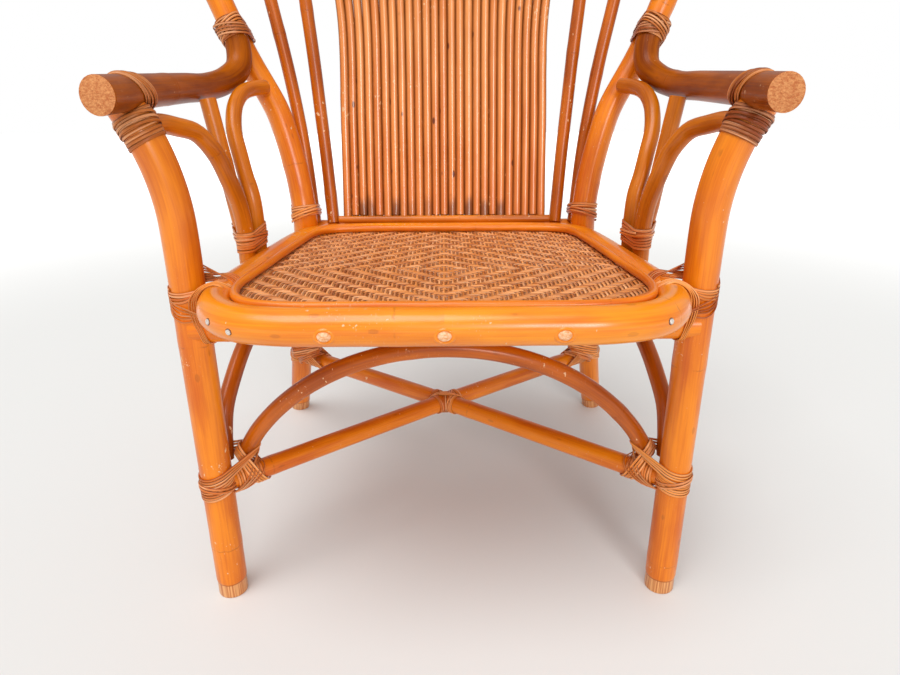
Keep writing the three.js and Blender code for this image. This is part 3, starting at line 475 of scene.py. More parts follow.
class Wiring:
    """Adds nodes to one node tree and joins them."""

    def __init__(self, tree: bpy.types.NodeTree) -> None:
        """Takes the tree that the nodes go into."""
        self.tree = tree

    def add(self, kind: str, settings: Optional[dict] = None, **inputs: object) -> bpy.types.Node:
        """Adds a node.

        Args:
            kind: the node's type, without its usual first word.
            settings: the node's own settings.
            inputs: values or sockets for its inputs, with a low line for each space in a name.

        Returns:
            The node.
        """
        node = self.tree.nodes.new("ShaderNode" + kind)
        for key, value in (settings or {}).items():
            setattr(node, key, value)
        self.feed_all(node, **inputs)
        return node

    def feed_all(self, node: bpy.types.Node, **inputs: object) -> None:
        """Feeds a node's inputs, with a low line for each space in a name."""
        for key, value in inputs.items():
            self.feed(node.inputs[key.replace("_", " ")], value)

    def feed(self, socket: bpy.types.NodeSocket, value: object) -> None:
        """Links a socket to another, or sets its value."""
        if isinstance(value, bpy.types.NodeSocket):
            self.tree.links.new(value, socket)
        else:
            socket.default_value = value

    def sum(self, operation: str, *values: object) -> bpy.types.NodeSocket:
        """The result of a sum on one to three values."""
        node = self.tree.nodes.new("ShaderNodeMath")
        node.operation = operation
        for socket, value in zip(node.inputs, values):
            self.feed(socket, value)
        return node.outputs[0]

    def stretched(self, place: object, scale: tuple, shift: float = 0.0) -> bpy.types.NodeSocket:
        """A place with each coordinate stretched and then shifted."""
        node = self.tree.nodes.new("ShaderNodeVectorMath")
        node.operation = "MULTIPLY_ADD"
        for socket, value in zip(node.inputs, (place, scale, (shift,) * 3)):
            self.feed(socket, value)
        return node.outputs[0]

    def cloud(self, place: object, detail: float = 2.0, rough: float = 0.55) -> bpy.types.NodeSocket:
        """Soft noise at a place, from 0 to 1."""
        node = self.add("TexNoise", Vector=place, Scale=1.0, Detail=detail, Roughness=rough)
        return node.outputs[0]

    def step(self, value: object, low: float, high: float) -> bpy.types.NodeSocket:
        """A smooth step from 0 at low to 1 at high; the other way round where low is above high."""
        node = self.add("MapRange", {"interpolation_type": "SMOOTHSTEP"}, Value=value)
        ends = {"From Min": min(low, high), "From Max": max(low, high)}
        ends["To Min"], ends["To Max"] = (0.0, 1.0) if low < high else (1.0, 0.0)
        for key, end in ends.items():
            node.inputs[key].default_value = end
        return node.outputs[0]

    def blend(self, share: object, below: object, above: object, kind: str = "MIX") -> bpy.types.NodeSocket:
        """One colour laid over another by a share."""
        node = self.add("Mix", {"data_type": "RGBA", "blend_type": kind})
        for socket, value in zip((node.inputs[0], node.inputs[6], node.inputs[7]), (share, below, above)):
            self.feed(socket, value)
        return node.outputs[2]

    def scaled(self, value: object, by: object, plus: object) -> bpy.types.NodeSocket:
        """A value multiplied by a second and added to a third."""
        return self.sum("MULTIPLY_ADD", value, by, plus)

    def times(self, first: object, second: object) -> bpy.types.NodeSocket:
        """The product of two values."""
        return self.sum("MULTIPLY", first, second)

    def laid_over(self, colour: object, mask: object, strength: float, code: str) -> bpy.types.NodeSocket:
        """A colour with a tint laid over it where a mask shows, at a given strength."""
        return self.blend(self.times(mask, strength), colour, tint(code))

    def bump(self, height: object, strength: float, distance: float) -> bpy.types.NodeSocket:
        """The normal of a surface that rises with a height."""
        return self.add("Bump", Strength=strength, Distance=distance, Height=height).outputs[0]


@dataclass(frozen=True)
class EffectGroup:
    """A node group with named inputs and outputs, made once and used by several finishes."""

    name: str
    inputs: tuple[tuple[str, str], ...]
    outputs: tuple[tuple[str, str], ...]

    def made(self, fill: Callable) -> bpy.types.NodeTree:
        """The group's node tree, filled on its first use.

        Args:
            fill: adds the nodes, from the wiring and the input sockets, and gives back the outputs' sockets.

        Returns:
            The node tree.
        """
        ready = bpy.data.node_groups.get(self.name)
        if ready is not None:
            return ready
        tree = bpy.data.node_groups.new(self.name, "ShaderNodeTree")
        for sockets, way in ((self.inputs, "INPUT"), (self.outputs, "OUTPUT")):
            for name, kind in sockets:
                tree.interface.new_socket(name=name, in_out=way, socket_type=kind)
        start = tree.nodes.new("NodeGroupInput")
        end = tree.nodes.new("NodeGroupOutput")
        wiring = Wiring(tree)
        made = fill(wiring, {name: start.outputs[name] for name, _ in self.inputs})
        for name, _ in self.outputs:
            wiring.feed(end.inputs[name], made[name])
        return tree


NUMBER = "NodeSocketFloat"
PLACE = "NodeSocketVector"
CANE_SKIN = EffectGroup(
    "cane_skin",
    (("Skin", PLACE), ("Girth", NUMBER), ("Joint Spacing", NUMBER)),
    tuple((name, NUMBER) for name in ("Streaks", "Clouds", "Joints", "Flecks", "Tone", "Side", "Relief")),
)
WEAR = EffectGroup(
    "handling_wear",
    (("Place", PLACE), ("Amount", NUMBER)),
    (("Chips", NUMBER), ("Scuffs", NUMBER)),
)


def fill_cane_skin(wiring: Wiring, given: dict) -> dict:
    """Grain of cane or rattan: streaks along it, joint rings, dark flecks and the tone of each strand."""
    parts = wiring.add("SeparateXYZ", Vector=given["Skin"])
    along, around = parts.outputs[0], parts.outputs[1]
    number = wiring.sum("FLOOR", around)
    tone = wiring.add("TexWhiteNoise", {"noise_dimensions": "1D"}, W=number).outputs[0]
    angle = wiring.times(around, math.tau)
    first = wiring.times(wiring.sum("COSINE", angle), given["Girth"])
    second = wiring.times(wiring.sum("SINE", angle), given["Girth"])
    own_along = wiring.scaled(tone, 7.3, along)
    place = wiring.add("CombineXYZ", X=own_along, Y=first, Z=second).outputs[0]
    streaks = wiring.cloud(wiring.stretched(place, (10.0, 480.0, 480.0)), 3.0, 0.62)
    clouds = wiring.cloud(wiring.stretched(place, (9.0, 40.0, 40.0), 3.1), 3.0, 0.5)
    broken = wiring.cloud(wiring.stretched(place, (14.0, 110.0, 110.0), 8.7), 1.0)
    cells = wiring.add("TexVoronoi", Vector=wiring.stretched(place, (22.0, 45.0, 45.0), 5.9), Scale=1.0)
    kept = wiring.step(wiring.add("SeparateColor", Color=cells.outputs["Color"]).outputs[0], 0.34, 0.38)
    from_spot = wiring.scaled(streaks, 0.08, cells.outputs["Distance"])
    waver = wiring.scaled(broken, 0.006, along)
    turn = wiring.sum("FRACT", wiring.sum("DIVIDE", waver, given["Joint Spacing"]))
    off_turn = wiring.sum("ABSOLUTE", wiring.sum("SUBTRACT", turn, 0.5))
    off = wiring.times(off_turn, given["Joint Spacing"])
    ring = wiring.step(off, 0.0016, 0.0003)
    joints = wiring.times(ring, wiring.step(broken, 0.40, 0.62))
    relief = wiring.scaled(joints, -0.7, wiring.times(streaks, 0.35))
    return {
        "Streaks": streaks,
        "Clouds": clouds,
        "Joints": joints,
        "Flecks": wiring.times(wiring.step(from_spot, 0.19, 0.13), kept),
        "Tone": tone,
        "Side": wiring.sum("ABSOLUTE", wiring.sum("COSINE", angle)),
        "Relief": relief,
    }


def fill_wear(wiring: Wiring, given: dict) -> dict:
    """Knocks and rubs of use: small pale chips in clusters, and fine scuffs."""
    patches = wiring.cloud(wiring.stretched(given["Place"], (11.0, 11.0, 11.0), 1.7), 2.0)
    chips = wiring.cloud(wiring.stretched(given["Place"], (190.0, 190.0, 120.0), 4.1), 2.5, 0.6)
    wanted = wiring.times(wiring.step(patches, 0.48, 0.72), given["Amount"])
    reach = wiring.scaled(wanted, 0.12, chips)
    lines = wiring.cloud(wiring.stretched(given["Place"], (520.0, 60.0, 240.0), 9.3), 1.0)
    scuffs = wiring.times(wiring.step(lines, 0.66, 0.74), wanted)
    return {"Chips": wiring.step(reach, 0.735, 0.775), "Scuffs": scuffs}


class Finish:
    """A finish: its own nodes, ending in one principled shader."""

    name: str

    def material(self) -> bpy.types.Material:
        """The finish's material, made on its first use."""
        ready = bpy.data.materials.get(self.name)
        if ready is not None:
            return ready
        made = bpy.data.materials.new(self.name)
        made.use_nodes = True
        wiring = Wiring(made.node_tree)
        self.wire(wiring, made.node_tree.nodes["Principled BSDF"])
        return made

    def wire(self, wiring: Wiring, shader: bpy.types.Node) -> None:
        """Feeds the shader."""
        raise NotImplementedError

    def skin(self, wiring: Wiring, girth: float, spacing: float) -> dict:
        """The grain of cane on the piece's own UV map."""
        coords = wiring.add("UVMap").outputs[0]
        tree = CANE_SKIN.made(fill_cane_skin)
        node = wiring.add("Group", {"node_tree": tree}, Skin=coords, Girth=girth, Joint_Spacing=spacing)
        return {socket.name: socket for socket in node.outputs}

    def wear(self, wiring: Wiring, amount: float) -> dict:
        """Chips and scuffs at their place on the chair."""
        coords = wiring.add("TexCoord").outputs["Object"]
        node = wiring.add("Group", {"node_tree": WEAR.made(fill_wear)}, Place=coords, Amount=amount)
        return {socket.name: socket for socket in node.outputs}


@dataclass(frozen=True)
class Lacquer(Finish):
    """Coloured lacquer over the skin of a pole or reed, chipped to the pale cane below."""

    name: str
    light: str = "F28A0C"
    deep: str = "CC5C02"
    joint: str = "6E2F0B"
    chip: str = "E9BC8E"
    girth: float = 0.020
    spacing: float = 0.29
    worn: float = 0.8
    flecks: float = 0.25
    rings: float = 0.25
    tones: float = 0.0
    roughness: float = 0.34
    foot: float = 0.0
    stain: float = 0.0
    coat: float = 0.25
    specular: float = 0.35
    # Strength of painted shade on the sides that face across the chair, between neighbouring reeds.
    pooled: float = 0.0

    def wire(self, wiring: Wiring, shader: bpy.types.Node) -> None:
        """Feeds the shader from the grain and the wear."""
        skin = self.skin(wiring, self.girth, self.spacing)
        wear = self.wear(wiring, self.worn)
        depth = wiring.scaled(skin["Clouds"], 0.9, wiring.times(skin["Streaks"], 0.45))
        depth = wiring.scaled(skin["Tone"], self.tones, depth)
        lit = wiring.step(depth, 0.38 + self.tones * 0.3, 0.95 + self.tones * 0.7)
        colour = wiring.blend(lit, tint(self.deep), tint(self.light))
        colour = wiring.laid_over(colour, skin["Joints"], self.rings, self.joint)
        colour = wiring.laid_over(colour, skin["Flecks"], self.flecks, self.joint)
        # Painted shade: the sides of a piece that face across the chair, where reeds stand in the valleys
        # against their neighbours, are darkened.
        if self.pooled:
            facing = wiring.add("SeparateXYZ", Vector=wiring.add("TexCoord").outputs["Normal"]).outputs[0]
            valley = wiring.step(wiring.sum("ABSOLUTE", facing), 0.40, 0.95)
            colour = wiring.laid_over(colour, valley, self.pooled, "5E2606")
        colour = wiring.laid_over(colour, wear["Scuffs"], 0.35, self.chip)
        colour = wiring.blend(wear["Chips"], colour, tint(self.chip))
        height = wiring.add("SeparateXYZ", Vector=wiring.add("TexCoord").outputs["Object"]).outputs[2]
        if self.stain:
            warmed = wiring.step(height, self.stain + 0.3, self.stain)
            colour = wiring.blend(warmed, colour, tint("FFF0D4"), "MULTIPLY")
            creeping = wiring.scaled(skin["Clouds"], -0.05, height)
            soaked = wiring.step(creeping, self.stain - 0.012, self.stain - 0.036)
            soaked = wiring.times(soaked, wiring.step(skin["Tone"], 0.45, 0.9))
            colour = wiring.laid_over(colour, soaked, 0.75, "5A240C")
        if self.foot:
            ragged = wiring.scaled(skin["Clouds"], 0.007, height)
            bare = wiring.step(ragged, self.foot + 0.0045, self.foot + 0.0035)
            line = wiring.step(ragged, self.foot + 0.007, self.foot + 0.0045)
            colour = wiring.laid_over(colour, line, 0.5, self.joint)
            fibre = wiring.step(skin["Streaks"], 0.35, 0.65)
            colour = wiring.blend(bare, colour, wiring.blend(fibre, tint("B8662C"), tint("E8A86A")))
        shine = wiring.scaled(skin["Streaks"], 0.12, self.roughness - 0.06)
        shine = wiring.scaled(wear["Chips"], 0.3, shine)
        relief = wiring.scaled(wear["Chips"], -0.5, skin["Relief"])
        wiring.feed_all(
            shader,
            Base_Color=colour,
            Roughness=shine,
            Normal=wiring.bump(relief, 0.5, 0.0006),
            Specular_IOR_Level=self.specular,
            Coat_Weight=self.coat,
            Coat_Roughness=0.2,
        )


@dataclass(frozen=True)
class Cane(Finish):
    """Split cane strand, with pale patches that are partly rubbed wear and partly painted highlight, painted
    shade along its sides, and each strand of its own tone.
    """

    name: str
    light: str = "DC7826"
    deep: str = "964006"
    edge: str = "F0B98C"
    girth: float = 0.004
    # Strength of the pale patches, which are partly wear and partly painted highlight.
    edges: float = 0.7
    # Strength of the painted shade along the strand's sides.
    creases: float = 0.65
    roughness: float = 0.45
    coat: float = 0.15

    def wire(self, wiring: Wiring, shader: bpy.types.Node) -> None:
        """Feeds the shader from the grain of the strand."""
        skin = self.skin(wiring, self.girth, 0.4)
        depth = wiring.scaled(skin["Tone"], 0.5, skin["Clouds"])
        depth = wiring.scaled(skin["Streaks"], 0.5, depth)
        colour = wiring.blend(wiring.step(depth, 0.55, 1.45), tint(self.deep), tint(self.light))
        # Pale patches: partly rubbed wear and partly painted highlight on the strand.
        streaked = wiring.step(skin["Streaks"], 0.40, 0.62)
        wear_and_sheen = wiring.times(streaked, wiring.step(skin["Clouds"], 0.40, 0.6))
        colour = wiring.laid_over(colour, wear_and_sheen, self.edges, self.edge)
        # Painted shade: the strand's sides, where it meets its neighbours, are darkened.
        colour = wiring.laid_over(colour, wiring.step(skin["Side"], 0.80, 0.99), self.creases, "4E1C08")
        colour = wiring.laid_over(colour, skin["Flecks"], 0.5, self.edge)
        wiring.feed_all(
            shader,
            Base_Color=colour,
            Roughness=wiring.scaled(skin["Streaks"], 0.25, self.roughness - 0.12),
            Normal=wiring.bump(skin["Streaks"], 0.6, 0.0005),
            Specular_IOR_Level=0.35,
            Coat_Weight=self.coat,
            Coat_Roughness=0.3,
        )


@dataclass(frozen=True)
class SawnEnd(Finish):
    """The pale fibrous end of a sawn pole, with open pores."""

    name: str
    light: str = "DE985C"
    deep: str = "B4602A"
    roughness: float = 0.75

    def wire(self, wiring: Wiring, shader: bpy.types.Node) -> None:
        """Feeds the shader from pores and blotches."""
        coords = wiring.add("TexCoord").outputs["Object"]
        pores = wiring.add("TexVoronoi", Vector=coords, Scale=1150.0, Randomness=0.9).outputs["Distance"]
        blotch = wiring.cloud(wiring.stretched(coords, (260.0, 260.0, 520.0)), 4.0, 0.7)
        colour = wiring.blend(wiring.step(blotch, 0.30, 0.72), tint(self.deep), tint(self.light))
        open_pore = wiring.step(pores, 0.34, 0.16)
        colour = wiring.laid_over(colour, open_pore, 0.4, "8A4A22")
        normal = wiring.bump(wiring.sum("SUBTRACT", blotch, open_pore), 0.6, 0.0006)
        wiring.feed_all(shader, Base_Color=colour, Normal=normal, Roughness=self.roughness)


@dataclass(frozen=True)
class NailSteel(Finish):
    """The dull steel of the screw heads."""

    name: str

    def wire(self, wiring: Wiring, shader: bpy.types.Node) -> None:
        """Feeds the shader from fine scratches."""
        coords = wiring.add("TexCoord").outputs["Object"]
        worn = wiring.cloud(wiring.stretched(coords, (900.0, 900.0, 900.0)), 2.0)
        colour = wiring.blend(worn, tint("C4BAAE"), tint("F4EEE6"))
        shine = wiring.scaled(worn, 0.3, 0.2)
        wiring.feed_all(shader, Base_Color=colour, Roughness=shine, Metallic=0.5)


@dataclass(frozen=True)
class Stage(Finish):
    """Plain matt paint of the floor."""

    name: str
    colour: str = "E4E4E2"
    near: float = 1.3
    far: float = 4.5

    def wire(self, wiring: Wiring, shader: bpy.types.Node) -> None:
        """Feeds the shader from the distance, so that the floor runs out into white."""
        coords = wiring.add("TexCoord").outputs["Object"]
        distance = wiring.add("VectorMath", {"operation": "LENGTH"}, Vector=coords).outputs["Value"]
        share = wiring.step(distance, self.near, self.far)
        wiring.feed_all(
            shader,
            Base_Color=wiring.blend(share, tint(self.colour), tint("FFFFFF")),
            Emission_Color=wiring.blend(share, tint("000000"), tint("FFFFFF")),
            Emission_Strength=0.5,
            Roughness=0.95,
            Specular_IOR_Level=0.1,
        )


POLE_LACQUER = Lacquer("pole_lacquer")
LEG_LACQUER = Lacquer("leg_lacquer", foot=0.020)
RING_LACQUER = Lacquer("ring_lacquer", light="F7960C", deep="DE7004", worn=0.9, coat=0.5, roughness=0.3)
ARM_LACQUER = Lacquer(
    "arm_lacquer", light="B05A00", deep="6A2600", worn=0.5, coat=0.08, roughness=0.36, specular=0.12
)
BRACE_LACQUER = Lacquer("brace_lacquer", light="E07E08", deep="A85200", girth=0.011, coat=0.2)
THIN_LACQUER = Lacquer("thin_lacquer", light="CE6804", deep="963E00", girth=0.011, coat=0.2)
# The reeds' sides that face across the chair are darkened with painted shade.
REED_LACQUER = Lacquer(
    "reed_lacquer", light="F09A50", deep="D27428", joint="5E1C06", girth=0.007, flecks=0.9, rings=0.0,
    tones=0.3, worn=1.0, stain=0.468, roughness=0.3, coat=1.0, pooled=0.6,
)
# The cane finishes carry painted highlight in their pale patches and painted shade along the strands' sides.
BINDING_CANE = Cane("binding_cane", light="FFA040", deep="C45C14")
ARM_CANE = Cane("arm_binding_cane", light="DC8028", deep="8C3A02")
WOVEN_CANE = Cane(
    "woven_cane", light="FFA858", deep="AC5A1C", edge="FFD2A6", edges=0.5, creases=0.7, coat=0.4
)
SAWN_END = SawnEnd("sawn_end")
# Pale wood of the plugs, lightened further as a painted highlight on the domes.
PLUG_WOOD_AND_SHEEN = SawnEnd("plug_wood", light="FFD4AC", deep="E0904E", roughness=0.3)
STEEL = NailSteel("nail_steel")
# Dark lacquer for the ring round each screw head: painted shade in the recess.
SCREW_RING_SHADE = Lacquer("recess_lacquer", light="7A3A10", deep="4A1C06", worn=0.3)


# THE BENCH: SIZES THAT SEVERAL PARTS SHARE, AND THE POLES AS THEY ARE LAID OUT


@dataclass
class Bench:
    """What the parts of the chair share: the stock, the lean of the back, the seat's levels and the poles."""

    leg: float = 0.040
    upright: float = 0.038
    arm: float = 0.037
    ring: float = 0.040
    front_rail: float = 0.034
    rail: float = 0.030
    stretcher: float = 0.027
    arch: float = 0.022
    brace: float = 0.022
    spoke: float = 0.020
    leg_spread: float = 0.2955
    arm_height: float = 0.648
    arm_upturn: float = 0.092
    ring_front_level: float = 0.430
    ring_rear_level: float = 0.417
    ring_reach: float = 0.114
    ring_rear_back: float = 0.346
    waist_back: float = 0.344
    waist_height: float = 0.440
    recline: float = 0.215
    rear_rail_level: float = 0.420
    front_rail_back: float = -0.005
    stretcher_front_level: float = 0.170
    stretcher_rear_level: float = 0.150
    bundle_back: float = 0.182
    weave_drop: float = 0.010
    poles: dict[str, Pole] = field(default_factory=dict)

    @property
    def lean(self) -> float:
        """How much longer a pole's section is, cut level, where it leans with the back."""
        return math.hypot(1, self.recline)

    @property
    def seat_depth(self) -> float:
        """From the ring's front to its rear, along the floor."""
        return self.ring_reach + self.ring_rear_back

    @property
    def ring_spread(self) -> float:
        """The ring's half width, where it lies against the front legs."""
        return self.leg_spread - (self.leg + self.ring) / 2 - GAP

    @property
    def rear_rail_back(self) -> float:
        """The depth of the rear rail, behind the ring."""
        return self.ring_rear_back + (self.ring + self.rail) / 2 + GAP

    @property
    def front_rail_level(self) -> float:
        """The height of the front rail, under the ring."""
        return self.seat_level(self.front_rail_back) - (self.ring + self.front_rail) / 2 - GAP

    def back_at(self, height: float) -> float:
        """The depth of the back at a height."""
        return self.waist_back + self.recline * (height - self.waist_height)

    def on_back(self, out: float, height: float, behind: float = 0.0) -> Vector:
        """A place of the back, or so far behind it, at a height and a distance from the middle."""
        return Vector((out, self.back_at(height) + behind, height))

    def seat_level(self, back: float) -> float:
        """The height of the ring's centre line at a depth."""
        return lerp(self.ring_front_level, self.ring_rear_level, (back + self.ring_reach) / self.seat_depth)

    def lay(self, name: str, line: CentreLine, diameter: float, **facts: object) -> None:
        """Lays a pole on the bench under its node's name.

        Args:
            name: the CAD node's name.
            line: its centre line.
            diameter: its diameter.
            facts: how it is made, where it differs from the usual.
        """
        self.poles[name] = Pole(name, line, diameter, number=len(self.poles) + 1, **facts)

    def dress(self, name: str, finish: Finish, slot: Slot = Slot.POLE, label: str = "pole") -> None:
        """Makes the piece of a pole that stands for its node.

        Args:
            name: the CAD node's name.
            finish: its finish.
            slot: the record's slot.
            label: the last word of the piece's name.
        """
        bm = bmesh.new()
        self.poles[name].drawn(bm)
        piece(bm, f"{name}_{label}", [name], slot, finish.material(), SAWN_END.material(), crisp=40)

    def bar(self, name: str, near: float, at: Vector, axis: Vector) -> Bar:
        """A pole where it crosses a plane.

        Args:
            name: the pole's name.
            near: the share of its length near which to look.
            at: a point of the plane.
            axis: the way that the plane faces.

        Returns:
            The pole there, as a straight bar.
        """
        pole = self.poles[name]
        window = 0.07
        low, high = near - window, near + window
        if not pole.line.closed:
            low, high = max(low, 0.0), min(high, 1.0)
        rising = (pole.line.at(high) - at).dot(axis) > (pole.line.at(low) - at).dot(axis)
        for _ in range(14):
            middle = (low + high) / 2
            if ((pole.line.at(middle) - at).dot(axis) < 0) == rising:
                low = middle
            else:
                high = middle
        place, along = pole.line.at(low), pole.line.along(low)
        steep = axis.dot(along)
        if abs(steep) > 1e-4:
            place = place + along * (axis.dot(at - place) / steep)
        return Bar(place, along, pole.diameter / 2)

    def spot(self, name: str, height: float) -> tuple[Vector, Vector]:
        """A pole's place and direction at a height."""
        line = self.poles[name].line
        share = line.share_where(2, height)
        return line.at(share), line.along(share)


# THE BACK FRAME AND THE LEGS


@dataclass
class BackFrame:
    """Rear legs that run on as uprights, and the hoop that joins them over the top."""

    foot_spread: float = 0.3114
    foot_back: float = 0.5495
    waist_spread: float = 0.225
    fan_spread: float = 0.3435
    fan_height: float = 0.770
    shoulder_spread: float = 0.391
    shoulder_height: float = 0.968
    height: float = 1.160
    hoop_joint_height: float = 0.905
    fan_rise_shares: tuple[float, ...] = (0.18, 0.3, 0.41, 0.52, 0.76, 1)
    fan_spread_shares: tuple[float, ...] = (0.06, 0.133, 0.216, 0.322, 0.692, 1)
    shoulder_rise_shares: tuple[float, ...] = (0.33, 0.64)
    shoulder_out_shares: tuple[float, ...] = (0.58, 0.88)
    leg_steps: int = 4
    crest_steps: int = 6
    worn_height: float = 0.021

    def crest(self, bench: Bench) -> float:
        """The height of the hoop's centre line at the top."""
        return self.height - bench.upright / 2

    def hoop_level(self, bench: Bench, spread: float) -> float:
        """The height of the hoop's centre line at a distance from the middle."""
        rise = self.crest(bench) - self.shoulder_height
        return self.shoulder_height + rise * math.sqrt(1 - (spread / self.shoulder_spread) ** 2)

    def side_points(self, bench: Bench) -> list[Vector]:
        """The right-hand side of the back, from the rear foot to the crest."""
        points = []
        for i in range(self.leg_steps):
            share = i / self.leg_steps
            spread = lerp(self.foot_spread, self.waist_spread, share)
            back = lerp(self.foot_back, bench.waist_back, share)
            points.append(Vector((spread, back, bench.waist_height * share)))
        points.append(Vector((self.waist_spread, bench.waist_back, bench.waist_height)))
        for rise, out in zip(self.fan_rise_shares, self.fan_spread_shares):
            height = lerp(bench.waist_height, self.fan_height, rise)
            spread = lerp(self.waist_spread, self.fan_spread, out)
            points.append(bench.on_back(spread, height))
        for rise, out in zip(self.shoulder_rise_shares, self.shoulder_out_shares):
            height = lerp(self.fan_height, self.shoulder_height, rise)
            spread = lerp(self.fan_spread, self.shoulder_spread, out)
            points.append(bench.on_back(spread, height))
        for i in range(self.crest_steps + 1):
            angle = i / self.crest_steps * math.pi / 2
            height = self.shoulder_height + (self.crest(bench) - self.shoulder_height) * math.sin(angle)
            points.append(bench.on_back(self.shoulder_spread * math.cos(angle), height))
        return points

    def lay_out(self, bench: Bench) -> None:
        """Lays the three poles of the back on the bench."""
        right = self.side_points(bench)
        half = CentreLine(right)
        joint = half.share_where(2, self.hoop_joint_height)
        below = half.at(0) - half.along(0) * bench.upright
        for hand in Hand:
            line = CentreLine(hand.mirrored([below, *half.stretch(0, joint, 60)]))
            name = f"rear_leg_and_upright_{hand.word}"
            bench.lay(name, line, bench.upright, start=PoleEnd.FLOOR, tip_height=self.worn_height)
        over = CentreLine(Hand.LEFT.mirrored(right) + right[-2::-1])
        start = over.share_where(2, self.hoop_joint_height)
        bench.lay("back_hoop", CentreLine(over.stretch(start, 1 - start, 70)), bench.upright)

    def dress(self, bench: Bench) -> None:
        """Makes the pieces of the back frame."""
        for hand in Hand:
            bench.dress(f"rear_leg_and_upright_{hand.word}", LEG_LACQUER)
        bench.dress("back_hoop", POLE_LACQUER)


@dataclass
class FrontLegs:
    """Front legs: straight, then bent outward to meet the arms."""

    bend_height: float = 0.500
    bend_radius: float = 0.270
    top_drop: float = 0.009
    straight_steps: int = 4
    arc_steps: int = 6
    spare_below: float = 0.03
    worn_height: float = 0.023

    def lay_out(self, bench: Bench) -> None:
        """Lays the two legs on the bench."""
        points = [Vector((bench.leg_spread, 0, -self.spare_below))]
        for i in range(self.straight_steps):
            points.append(Vector((bench.leg_spread, 0, self.bend_height * i / self.straight_steps)))
        sweep = math.asin((bench.arm_height - self.top_drop - self.bend_height) / self.bend_radius)
        for i in range(self.arc_steps + 1):
            angle = sweep * i / self.arc_steps
            out = bench.leg_spread + self.bend_radius * (1 - math.cos(angle))
            points.append(Vector((out, 0, self.bend_height + self.bend_radius * math.sin(angle))))
        foot = {"start": PoleEnd.FLOOR, "tip_height": self.worn_height}
        for hand in Hand:
            bench.lay(f"front_leg_{hand.word}", CentreLine(hand.mirrored(points)), bench.leg, **foot)

    def dress(self, bench: Bench) -> None:
        """Makes the pieces of the legs."""
        for hand in Hand:
            bench.dress(f"front_leg_{hand.word}", LEG_LACQUER)


# ARMS AND THEIR BRACES


